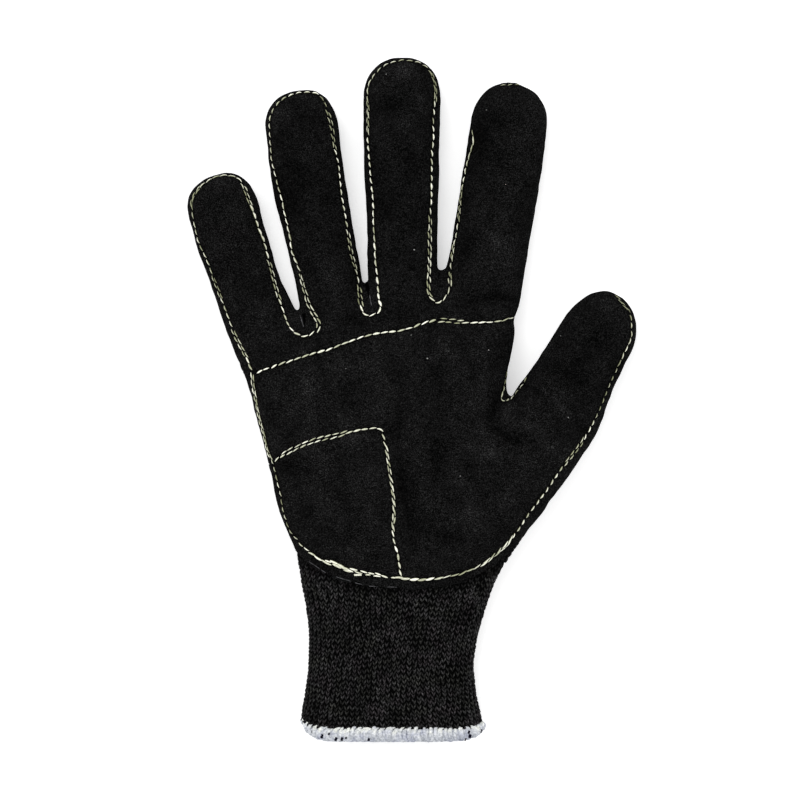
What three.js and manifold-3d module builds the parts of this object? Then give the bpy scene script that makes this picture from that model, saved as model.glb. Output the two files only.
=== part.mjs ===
// Cut-resistant work glove for a right hand: a seamless knitted glove with a suede palm sewn onto it.
// It lies on its back, palm up. Units are millimetres: fingers +Y, thumb +X, palm +Z, surface at z = 0.
import * as THREE from "three";
import { mergeVertices } from "three/addons/utils/BufferGeometryUtils.js";
import Module from "manifold-3d";

// Thicknesses and gaps
const knitWall = 1.5;
const suedeWall = 1.3;
const gap = 0.3;
const suedeTop = gap + suedeWall;

// Cuff edge: the white overlocked hem takes the last millimetres of the cuff
const cuffEnd = -130.3;
const hemLength = 5.6;
const hemProud = 0.7;
const hemProfilePoints = 8;
const hemRoundness = 0.7;
const mouthCornerRise = { left: 7, right: 5 };
const mouthCornerPower = 8;

// Where the knitted cuff meets the knitted hand
const wristLine = -73;

// Height of the suede's raw edge above the surface: on the sides of the hand, and where it wraps round
const suedeEdgeHeight = 5.6;
const suedeWrapHeight = 2.6;

// Shape of every cross-section: rounder on the palm side, pressed flat against the surface below
const palmSideFullness = 2.35;
const backFullness = 2.8;
const bellyShare = 0.42;
const pressedDepth = 0.9;
const domeRoundness = 0.8;

// A shallow crease runs down the middle of the palm
const crease = { x: -6, halfWidth: 7, from: -62, to: 28, fade: 16, depth: 1.8 };

// Facets round a section, and the steps over a digit's rounded tip
const trunkPoints = 24;
const digitPoints = 14;
const domeAngles = [24, 46, 66, 83].map(THREE.MathUtils.degToRad);

// Tools that divide the glove in plan reach past it on every side.
const below = -5;
const above = 60;
const far = 150;

// Knitted trunk from the cuff's edge to the finger crotches.
// Columns: y, left edge x, right edge x, top z.
const trunkRows = [
  [-130.3, -41.9, 27.7, 20.4],
  [-124.0, -41.6, 27.0, 20.2],
  [-115.0, -40.2, 25.0, 19.6],
  [-102.4, -38.9, 24.0, 19.2],
  [-92.0, -38.6, 25.2, 19.2],
  [-80.0, -39.7, 28.2, 19.8],
  [-68.0, -41.8, 32.4, 20.8],
  [-58.0, -43.2, 38.2, 22.0],
  [-49.0, -45.5, 44.2, 23.2],
  [-40.0, -48.9, 50.4, 24.0],
  [-28.0, -51.8, 51.5, 24.6],
  [-14.0, -55.2, 46.6, 24.4],
  [-3.0, -58.2, 37.8, 23.6],
  [6.0, -60.5, 35.3, 22.6],
  [17.0, -64.5, 36.7, 20.8],
  [26.0, -62.0, 37.4, 18.8],
  [33.0, -44.4, 36.2, 17.0],
  [39.5, -29.4, 33.0, 15.2],
  [44.8, -18.6, 27.0, 13.2],
  [47.8, -8.0, 16.0, 11.0],
];

// Knitted digits. tip is the outermost point, turn the angle from +Y towards +X in degrees.
// Rows are measured back from the tip. Columns: distance from tip, sideways offset, half-width, top z, lift.
const digits = {
  little: {
    tip: [-75.2, 84.1],
    turn: -18.6,
    dome: { length: 13, power: 2.4 },
    rows: [
      [80.0, 3.0, 6.0, 11.0, 3],
      [68.0, 0, 11.6, 13.4, 0],
      [56.0, -0.3, 11.9, 14.2, 0],
      [40.0, -0.3, 11.4, 14.0, 0],
      [24.0, -0.1, 11.9, 14.2, 0.8],
      [13.0, 0, 11.8, 14.4, 2.0],
    ],
  },
  ring: {
    tip: [-42.7, 116.2],
    turn: -9.3,
    dome: { length: 14, power: 2.4 },
    rows: [
      [100.0, 0, 7.0, 12.0, 3],
      [88.0, 0, 10.8, 14.4, 1.5],
      [74.0, 0, 11.3, 15.4, 0],
      [56.0, -0.6, 11.7, 15.2, 0],
      [34.0, -1.1, 12.3, 15.4, 0.6],
      [14.0, -0.9, 12.3, 15.6, 2.6],
    ],
  },
  middle: {
    tip: [-2.9, 128.8],
    turn: -0.4,
    dome: { length: 14, power: 2.4 },
    rows: [
      [104.0, 0, 7.0, 12.0, 3],
      [94.0, -0.4, 11.0, 14.6, 1.5],
      [79.0, -0.8, 11.8, 15.8, 0],
      [60.0, -0.7, 12.0, 15.6, 0],
      [36.0, -0.8, 12.8, 15.8, 0.6],
      [14.0, -0.5, 13.2, 16.0, 2.8],
    ],
  },
  index: {
    tip: [39.8, 119.0],
    turn: 9.8,
    dome: { length: 14, power: 2.4 },
    rows: [
      [100.0, 0, 7.0, 12.0, 3],
      [90.0, 0.2, 12.6, 15.2, 0],
      [78.0, 0.8, 13.2, 15.8, 0],
      [60.0, 0.9, 13.0, 15.6, 0],
      [36.0, 0.7, 13.1, 15.8, 0.6],
      [14.0, 0.1, 12.9, 16.0, 2.6],
    ],
  },
  thumb: {
    tip: [78.5, 38.3],
    turn: 29.9,
    dome: { length: 17.4, power: 2 },
    rows: [
      [94.0, -3.0, 8.0, 16.0, 3],
      [82.4, 0.2, 14.2, 21.4, 0],
      [66.0, 0.9, 15.2, 21.0, 0],
      [50.0, 1.1, 15.8, 19.6, 0],
      [34.0, 0.6, 14.0, 17.8, 0.4],
      [17.4, -0.2, 13.0, 17.4, 2.4],
    ],
  },
};

// Finger crotches of the knitted glove, where the digits part from each other
const crotch = {
  littleRing: [-43.4, 31.2],
  ringMiddle: [-17.6, 44.8],
  middleIndex: [12.0, 47.0],
  indexThumb: [37.6, -2.4],
};

// The digits are knitted onto the hand along lines in plan. These are the lines' outer ends, two points of
// the web beside the thumb, and the far ends of the partings between the digits.
const digitLine = { little: [-80, 20], index: [48, 41.6], thumb: [90, -9.4] };
const webSide = [
  [38.2, 4],
  [43, 14],
];
const parting = {
  littleRing: [-62, far],
  ringMiddle: [-23, far],
  middleIndex: [21, far],
  indexThumb: [60, far],
};

// Seams between the suede panels and the suede's raw edge at the wrist, as seen from the palm side
const palmSeam = [
  [-82, 14],
  [-59, 10.5],
  [-46, 15],
  [-31, 20],
  [-16, 25.1],
  [0, 27.5],
  [10.5, 31],
  [19, 30],
  [31, 30],
  [50, 33],
];
const heelSeam = [
  [-75, -33],
  [-51.9, -23.4],
  [-37, -15.3],
  [-22.2, -11.8],
  [-12.6, -10.6],
  [-9.6, -16.5],
  [-7, -33],
  [-6.3, -52.6],
  [-4, -66.3],
  [-3, -85],
];
const wristEdge = [
  [-60, -42],
  [-44.5, -57.4],
  [-34.4, -64.4],
  [-20, -69.8],
  [-5, -71.1],
  [12, -70.4],
  [26.4, -66.4],
  [39.3, -57.2],
  [60, -36],
];

// Where the suede wraps round to the back: the index finger's thumb side and the thumb's inner side
const wrapOutline = [
  [47, 126],
  [70, 100],
  [92, 50],
  [71, 42],
  [61, 16],
  [50, -4],
  [38, -4],
  [32, 6],
  [35, 45],
];

// Cubic interpolation of a table's columns that never overshoots its rows.
function along(table, position) {
  const last = table.length - 1;
  const slope = (i, c) => (table[i + 1][c] - table[i][c]) / (table[i + 1][0] - table[i][0]);
  const tangent = (i, c) => {
    if (i === 0) return slope(0, c);
    if (i === last) return slope(last - 1, c);
    const before = slope(i - 1, c);
    const after = slope(i, c);
    return before * after <= 0 ? 0 : (2 * before * after) / (before + after);
  };
  const rising = table[last][0] > table[0][0];
  let i = 0;
  while (i < last - 1 && (rising ? position > table[i + 1][0] : position < table[i + 1][0])) i++;
  const span = table[i + 1][0] - table[i][0];
  const t = THREE.MathUtils.clamp((position - table[i][0]) / span, 0, 1);
  return table[i].map((value, c) => {
    if (c === 0) return position;
    const rise = table[i + 1][c] - value;
    const a = tangent(i, c) * span - rise;
    const b = rise - tangent(i + 1, c) * span;
    return value + t * rise + t * (1 - t) * ((1 - t) * a + t * b);
  });
}

const power = (value, exponent) => Math.sign(value) * Math.abs(value) ** exponent;

// One cross-section as [sideways, z] pairs. offset moves it outwards, inwards when negative.
function section(count, { halfWidth, top, lift, shrink = 1, rise = 1 }, offset) {
  const belly = lift + (top - lift) * bellyShare;
  const palmDepth = (top - belly) * rise + offset;
  const backDepth = (belly - lift + pressedDepth) * rise + offset;
  const lowest = belly - (belly - lift) * rise - offset;
  return Array.from({ length: count }, (_, k) => {
    const angle = (2 * Math.PI * (k + 0.5)) / count;
    const fullness = Math.sin(angle) > 0 ? palmSideFullness : backFullness;
    const depth = Math.sin(angle) > 0 ? palmDepth : backDepth;
    const side = (halfWidth * shrink + offset) * power(Math.cos(angle), 2 / fullness);
    return [side, Math.max(belly + depth * power(Math.sin(angle), 2 / fullness), lowest)];
  });
}

// A closed solid through rings of equal length, whose ends are closed by a fan.
function loft(rings) {
  const count = rings[0].length;
  const centre = (ring) => ring.reduce((sum, p) => sum.add(p), new THREE.Vector3()).divideScalar(count);
  const points = [...rings.flat(), centre(rings[0]), centre(rings.at(-1))];
  const lastRing = (rings.length - 1) * count;
  const faces = [];
  for (let k = 0; k < count; k++) {
    const next = (k + 1) % count;
    faces.push(points.length - 2, k, next);
    faces.push(points.length - 1, lastRing + next, lastRing + k);
    for (let r = 0; r < rings.length - 1; r++) {
      const low = r * count;
      const high = low + count;
      faces.push(low + k, high + next, low + next);
      faces.push(low + k, high + k, high + next);
    }
  }
  return new THREE.BufferGeometry().setFromPoints(points).setIndex(faces);
}

// A closed band through rings of equal length, the last of which joins the first.
function band(rings) {
  const count = rings[0].length;
  const faces = [];
  rings.forEach((_, r) => {
    const low = r * count;
    const high = ((r + 1) % rings.length) * count;
    for (let k = 0; k < count; k++) {
      const next = (k + 1) % count;
      faces.push(low + k, high + next, low + next);
      faces.push(low + k, high + k, high + next);
    }
  });
  return new THREE.BufferGeometry().setFromPoints(rings.flat()).setIndex(faces);
}

const wasm = await Module();
wasm.setup();

// A closed mesh as a solid that can be joined and cut
function solid(geometry) {
  geometry.deleteAttribute("normal");
  geometry.deleteAttribute("uv");
  const merged = mergeVertices(geometry, 1e-4);
  const vertProperties = merged.attributes.position.array;
  const triVerts = new Uint32Array(merged.index.array);
  const made = new wasm.Manifold(new wasm.Mesh({ numProp: 3, vertProperties, triVerts }));
  if (made.volume() < 0) throw new Error("a solid is inside out");
  return made;
}

const joined = (solids) => solids.reduce((whole, next) => whole.add(next));

function creaseDepth(x, y) {
  const across = Math.exp(-(((x - crease.x) / crease.halfWidth) ** 2));
  const rise = THREE.MathUtils.smoothstep(y, crease.from, crease.from + crease.fade);
  const fall = 1 - THREE.MathUtils.smoothstep(y, crease.to - crease.fade, crease.to);
  return crease.depth * across * rise * fall;
}

// The cuff's mouth curves up where the tube folds at its two sides. side runs from -1 to 1 across the cuff.
function mouthRise(y, side) {
  const nearMouth = 1 - THREE.MathUtils.smoothstep(y, cuffEnd, wristLine);
  const rise = side < 0 ? mouthCornerRise.left : mouthCornerRise.right;
  return rise * nearMouth * Math.abs(side) ** mouthCornerPower;
}

function trunkRing(y, offset) {
  const [, left, right, top] = along(trunkRows, y);
  const middle = (left + right) / 2;
  const halfWidth = (right - left) / 2;
  return section(trunkPoints, { halfWidth, top, lift: 0 }, offset).map(([side, z]) => {
    const x = middle + side;
    const dent = z > top / 2 ? creaseDepth(x, y) : 0;
    return new THREE.Vector3(x, y + mouthRise(y, side / (halfWidth + offset)), Math.max(z - dent, 0));
  });
}

const trunk = (offset, stations) => solid(loft(stations.map((y) => trunkRing(y, offset))));

// Rings of one digit from its root inside the hand to its rounded tip.
function digitRings({ tip, turn, dome, rows }, offset) {
  const angle = THREE.MathUtils.degToRad(turn);
  const forward = new THREE.Vector2(Math.sin(angle), Math.cos(angle));
  const sideways = new THREE.Vector2(Math.cos(angle), -Math.sin(angle));
  const place = (back, shift, ring) =>
    ring.map(([side, z]) => {
      const across = shift + side;
      const x = tip[0] - back * forward.x + across * sideways.x;
      const y = tip[1] - back * forward.y + across * sideways.y;
      return new THREE.Vector3(x, y, z);
    });
  const tube = rows.map(([back, shift, halfWidth, top, lift]) =>
    place(back, shift, section(digitPoints, { halfWidth, top, lift }, offset)),
  );
  const [, shift, halfWidth, top, lift] = rows.at(-1);
  const rounded = domeAngles.map((domeAngle) => {
    const reach = (dome.length + offset) * Math.sin(domeAngle) ** (2 / dome.power);
    const shrink = Math.cos(domeAngle) ** (2 / dome.power);
    const rise = Math.cos(domeAngle) ** domeRoundness;
    const shape = { halfWidth, top, lift, shrink, rise };
    return place(dome.length - reach, shift, section(digitPoints, shape, offset * shrink));
  });
  return [...tube, ...rounded];
}

const rowsBetween = (low, high) => trunkRows.map((row) => row[0]).filter((y) => y > low && y < high);

// The surface of the hand with its digits, moved outwards by offset. It starts a little below the wrist line.
function handSkin(offset) {
  const stations = rowsBetween(wristLine - 8, far);
  const tubes = Object.values(digits).map((digit) => solid(loft(digitRings(digit, offset))));
  return joined([trunk(offset, stations), ...tubes]);
}

// An upright prism over a plan outline, used to divide the glove into its pieces.
function prism(outline, low, high) {
  const shape = new THREE.Shape(outline.map(([x, y]) => new THREE.Vector2(x, y)));
  const geometry = new THREE.ExtrudeGeometry(shape, { depth: high - low, bevelEnabled: false });
  return solid(geometry.translate(0, 0, low));
}

// A smooth line through a seam's points, moved sideways by half of the gap between two panels.
function seamLine(points, shift) {
  const curve = new THREE.SplineCurve(points.map(([x, y]) => new THREE.Vector2(x, y)));
  const steps = 2 * (points.length - 1);
  return Array.from({ length: steps + 1 }, (_, i) => {
    const at = curve.getPoint(i / steps);
    const tangent = curve.getTangent(i / steps);
    return [at.x - tangent.y * shift, at.y + tangent.x * shift];
  });
}

// Plan regions of the knitted pieces, a gap apart
function knitRegions() {
  const half = gap / 2;
  const up = ([x, y]) => [x, y + half];
  const down = ([x, y]) => [x, y - half];
  const left = ([x, y]) => [x - half, y];
  const right = ([x, y]) => [x + half, y];
  const corners = (before, after) => [right(up(before)), left(up(after))];
  return {
    little: [up(digitLine.little), left(up(crotch.littleRing)), left(parting.littleRing), [-far, far]],
    ring: [
      ...corners(crotch.littleRing, crotch.ringMiddle),
      left(parting.ringMiddle),
      right(parting.littleRing),
    ],
    middle: [
      ...corners(crotch.ringMiddle, crotch.middleIndex),
      left(parting.middleIndex),
      right(parting.ringMiddle),
    ],
    index: [
      ...corners(crotch.middleIndex, digitLine.index),
      left(parting.indexThumb),
      right(parting.middleIndex),
    ],
    thumb: [
      right(up(crotch.indexThumb)),
      up(digitLine.thumb),
      [far, far],
      right(parting.indexThumb),
      ...webSide.map(right).reverse(),
    ],
    hand: [
      [-far, wristLine + half],
      [far, wristLine + half],
      down(digitLine.thumb),
      left(down(crotch.indexThumb)),
      ...webSide.map(left),
      down(digitLine.index),
      down(crotch.middleIndex),
      down(crotch.ringMiddle),
      down(crotch.littleRing),
      down(digitLine.little),
      [-far, digitLine.little[1]],
    ],
  };
}

function knitPieces() {
  const shell = handSkin(0).subtract(handSkin(-knitWall));
  const pieces = {};
  for (const [name, outline] of Object.entries(knitRegions()))
    pieces["knit_" + name] = shell.intersect(prism(outline, below, above));
  return pieces;
}

// The cuff runs on from the hand, and ends just short of the hem.
function cuffPiece() {
  const start = cuffEnd + hemLength + gap;
  const end = wristLine - gap / 2;
  const stations = [start, ...rowsBetween(start + gap, end - gap), end];
  const outer = stations.map((y) => trunkRing(y, 0));
  const inner = stations.map((y) => trunkRing(y, -knitWall));
  return solid(band([...outer, ...inner.reverse()]));
}

// The hem is a rounded band that wraps the cuff's edge, proud of the knit inside and out.
function hemPiece() {
  const halfDepth = knitWall / 2 + hemProud;
  const rings = Array.from({ length: hemProfilePoints }, (_, k) => {
    const angle = (2 * Math.PI * (k + 0.5)) / hemProfilePoints;
    const y = cuffEnd + (hemLength / 2) * (1 - power(Math.cos(angle), hemRoundness));
    return trunkRing(y, -knitWall / 2 + halfDepth * power(Math.sin(angle), hemRoundness));
  });
  return solid(band(rings));
}

// The suede is a skin over the palm side of the hand and digits, divided into panels at its seams.
function suedePieces() {
  const half = gap / 2;
  const shell = handSkin(suedeTop).subtract(handSkin(gap));
  const everywhere = [
    [-far, -far],
    [far, -far],
    [far, far],
    [-far, far],
  ];
  const overPalm = prism(everywhere, suedeEdgeHeight, above).add(prism(wrapOutline, suedeWrapHeight, above));
  const overWrist = prism([...seamLine(wristEdge, 0), [far, far], [-far, far]], below, above);
  const suede = shell.intersect(overPalm).intersect(overWrist);
  const outlines = {
    fingers: [...seamLine(palmSeam, half), parting.indexThumb, [-far, far]],
    palm: [
      ...seamLine(heelSeam, half),
      [far, -far],
      [far, far],
      [parting.indexThumb[0] + gap, far],
      ...seamLine(palmSeam, -half).reverse(),
    ],
    heel: [...seamLine(heelSeam, -half), [-far, -far]],
  };
  const pieces = {};
  for (const [name, outline] of Object.entries(outlines))
    pieces["leather_" + name] = suede.intersect(prism(outline, below, above));
  return pieces;
}

const materials = {
  knit: { color: "#181717", roughness: 0.95, metalness: 0 },
  suede: { color: "#141414", roughness: 0.9, metalness: 0 },
  hem: { color: "#c1c4c7", roughness: 0.85, metalness: 0 },
};

function mesh(name, piece, material) {
  const { numProp, numVert, vertProperties, triVerts } = piece.getMesh();
  const positions = new Float32Array(numVert * 3);
  for (let i = 0; i < numVert; i++)
    positions.set(vertProperties.subarray(i * numProp, i * numProp + 3), i * 3);
  const geometry = new THREE.BufferGeometry();
  geometry.setAttribute("position", new THREE.BufferAttribute(positions, 3));
  geometry.setIndex(new THREE.BufferAttribute(new Uint32Array(triVerts), 1));
  geometry.computeVertexNormals();
  const made = new THREE.Mesh(geometry, new THREE.MeshStandardMaterial(materials[material]));
  made.name = name;
  return made;
}

const glove = new THREE.Group();
for (const [name, piece] of Object.entries(knitPieces())) glove.add(mesh(name, piece, "knit"));
glove.add(mesh("knit_cuff", cuffPiece(), "knit"));
for (const [name, piece] of Object.entries(suedePieces())) glove.add(mesh(name, piece, "suede"));
glove.add(mesh("cuff_hem", hemPiece(), "hem"));

export default glove;
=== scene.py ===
"""A right-hand cut-resistant work glove lying palm up: black knit, a suede palm and yellow-green stitching.

The hand's cross-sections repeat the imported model's, in millimetres: fingers +Y, thumb +X, palm +Z.
"""

import math

import bpy
import numpy as np
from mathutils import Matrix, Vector
from mathutils.bvhtree import BVHTree
from mathutils.kdtree import KDTree


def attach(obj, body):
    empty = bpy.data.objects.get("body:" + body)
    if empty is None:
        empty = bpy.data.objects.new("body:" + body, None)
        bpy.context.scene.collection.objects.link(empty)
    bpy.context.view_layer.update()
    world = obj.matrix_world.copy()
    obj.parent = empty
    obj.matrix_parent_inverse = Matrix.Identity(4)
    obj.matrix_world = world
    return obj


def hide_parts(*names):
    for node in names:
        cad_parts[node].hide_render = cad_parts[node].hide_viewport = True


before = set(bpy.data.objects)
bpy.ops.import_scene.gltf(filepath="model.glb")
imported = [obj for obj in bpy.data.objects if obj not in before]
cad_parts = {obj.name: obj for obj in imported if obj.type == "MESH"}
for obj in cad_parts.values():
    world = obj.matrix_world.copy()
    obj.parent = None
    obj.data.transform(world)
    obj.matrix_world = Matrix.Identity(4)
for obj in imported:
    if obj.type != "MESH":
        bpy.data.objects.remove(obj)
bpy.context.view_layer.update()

MM = 0.001
SEED = 11

# The camera is straight above the palm with a long lens.
IMAGE_PIXELS = 800
MM_PER_PIXEL = 0.38
ORIGIN_PIXEL = (410.5, 400.5)
SENSOR = 36
LENS = 250
SIGHT_HEIGHT = 9
CAMERA_X = (IMAGE_PIXELS / 2 - ORIGIN_PIXEL[0]) * MM_PER_PIXEL
CAMERA_Y = (ORIGIN_PIXEL[1] - IMAGE_PIXELS / 2) * MM_PER_PIXEL
CAMERA_HEIGHT = SIGHT_HEIGHT + IMAGE_PIXELS * MM_PER_PIXEL * LENS / SENSOR

# Cross-sections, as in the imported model
PALM_FULLNESS = 2.35
BACK_FULLNESS = 2.8
BELLY_SHARE = 0.42
PRESSED_DEPTH = 0.9
DOME_ROUNDNESS = 0.8
CUFF_END = -130.3
WRIST_LINE = -73
MOUTH_RISE_LEFT = 6
MOUTH_RISE_RIGHT = 3.8
MOUTH_RISE_POWER = 11
KNIT_WALL = 1.5

# The shallow crease down the middle of the palm
CREASE_X = -6
CREASE_HALF_WIDTH = 7
CREASE_FROM = -62
CREASE_TO = 28
CREASE_FADE = 16
CREASE_DEPTH = 1.8

# Columns: y, left edge x, right edge x, top z
TRUNK_ROWS = [
    [-130.3, -41.9, 28.0, 20.4],
    [-124.0, -41.5, 27.2, 20.2],
    [-115.0, -40.1, 25.2, 19.6],
    [-102.4, -38.9, 24.2, 19.2],
    [-92.0, -38.7, 25.4, 19.2],
    [-80.0, -39.6, 28.4, 19.8],
    [-68.0, -41.8, 32.6, 20.8],
    [-58.0, -43.3, 38.6, 22.0],
    [-49.0, -45.6, 44.8, 23.2],
    [-40.0, -49.0, 50.8, 24.0],
    [-28.0, -51.5, 51.8, 24.6],
    [-14.0, -54.8, 47.0, 24.4],
    [-3.0, -57.9, 37.7, 23.6],
    [6.0, -60.2, 34.8, 22.6],
    [17.0, -63.9, 36.4, 20.8],
    [26.0, -61.7, 38.2, 18.8],
    [33.0, -43.4, 37.5, 17.0],
    [39.5, -28.4, 33.0, 15.2],
    [44.6, -15.8, 27.0, 13.2],
    [47.4, -6.0, 17.0, 11.4],
    [48.2, 8.0, 15.4, 10.0],
    [48.9, 11.0, 15.6, 9.6],
    [49.7, 14.0, 15.8, 9.2],
]

# Digits: outermost point, turn from +Y towards +X in degrees, and the tip's length, roundness and lean.
# Columns of "rows": distance from the tip, sideways offset, half-width, top z, lift
DIGITS = {
    "little": {
        "tip": (-75.3, 83.8),
        "turn": -18.6,
        "dome": (13, 2.4, -0.7),
        "rows": [
            [80.0, 3.0, 6.0, 11.0, 3],
            [68.0, 0.9, 12.1, 13.4, 0],
            [56.0, 0.35, 12.05, 14.2, 0],
            [47.0, -0.25, 11.4, 14.1, 0],
            [40.0, -0.35, 11.25, 14.0, 0],
            [24.0, -0.35, 11.85, 14.2, 0.8],
            [13.0, 0.3, 11.9, 14.4, 2.0],
        ],
    },
    "ring": {
        "tip": (-42.7, 116.2),
        "turn": -9.3,
        "dome": (14, 2.4, -0.7),
        "rows": [
            [100.0, 0, 7.0, 12.0, 3],
            [88.0, 0, 10.5, 14.4, 1.5],
            [74.0, 0.0, 10.95, 15.4, 0],
            [56.0, -0.5, 11.45, 15.2, 0],
            [34.0, -1.4, 12.3, 15.4, 0.6],
            [14.0, -0.75, 12.25, 15.6, 2.6],
        ],
    },
    "middle": {
        "tip": (-2.9, 128.7),
        "turn": -0.4,
        "dome": (14, 2.25, -0.6),
        "rows": [
            [104.0, 0, 7.0, 12.0, 3],
            [94.0, -0.2, 10.8, 14.6, 1.5],
            [79.0, -0.65, 11.6, 15.8, 0],
            [60.0, -0.65, 11.9, 15.6, 0],
            [36.0, -0.8, 12.8, 15.8, 0.6],
            [14.0, -0.4, 13.15, 16.0, 2.8],
        ],
    },
    "index": {
        "tip": (39.8, 119.0),
        "turn": 9.8,
        "dome": (14, 2.05, 0.5),
        "rows": [
            [100.0, 0, 7.0, 12.0, 3],
            [90.0, 0.2, 12.6, 15.2, 0],
            [78.0, 0.8, 13.2, 15.8, 0],
            [60.0, 0.85, 13.05, 15.6, 0],
            [36.0, 0.65, 13.15, 15.8, 0.6],
            [14.0, 0.05, 12.95, 16.0, 2.6],
        ],
    },
    "thumb": {
        "tip": (78.6, 38.5),
        "turn": 29.9,
        "dome": (17.4, 2.05, 1.5),
        "rows": [
            [94.0, -3.0, 8.0, 16.0, 3],
            [82.4, 0.1, 14.1, 21.4, 0],
            [74.0, 0.65, 14.56, 21.4, 0],
            [66.0, 1.0, 14.96, 21.0, 0],
            [50.0, 1.2, 15.8, 19.6, 0],
            [34.0, 0.8, 13.85, 17.8, 0.4],
            [31.5, 0.6, 13.55, 17.7, 0.6],
            [28.9, 0.5, 13.2, 17.6, 0.9],
            [25.6, 0.5, 13.1, 17.5, 1.2],
            [22.8, 0.45, 12.9, 17.5, 1.6],
            [20.2, 0.42, 12.82, 17.4, 2.0],
            [17.4, 0.45, 12.78, 17.4, 2.4],
        ],
    },
}

# The suede: its face's distance from the sections, its thickness, and its skin's voxels and smoothing
SUEDE_TOP = 1.6
SUEDE_THICKNESS = 1.4
SUEDE_VOXEL = 0.8
SUEDE_PASSES = 6

# Its outer edge: its sinking at the wrist, its height, where it wraps further round, and the wrist's line
WRIST_SINK = 1.2
WRIST_SINK_REACH = 5
SUEDE_EDGE_HEIGHT = 5.6
SUEDE_WRAP_HEIGHT = 2.6
FAR = 150
WRAP_OUTLINE = [(47, 126), (70, 100), (92, 50), (71, 42), (61, 16), (50, -4), (38, -4), (32, 6), (35, 45)]
WRAP_BLEND = 3
WRIST_EDGE = [
    (-60, -42),
    (-44.5, -57.4),
    (-34.4, -64.4),
    (-20, -69.8),
    (-5, -71.1),
    (12, -70.4),
    (26.4, -66.4),
    (39.3, -57.2),
    (60, -36),
]

# Where the seams between the suede panels leave the glove's outline
PALM_SEAM_ENDS = ((-82, 14), (50, 33))
HEEL_SEAM_ENDS = ((-75, -33), (-3, -85))

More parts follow.
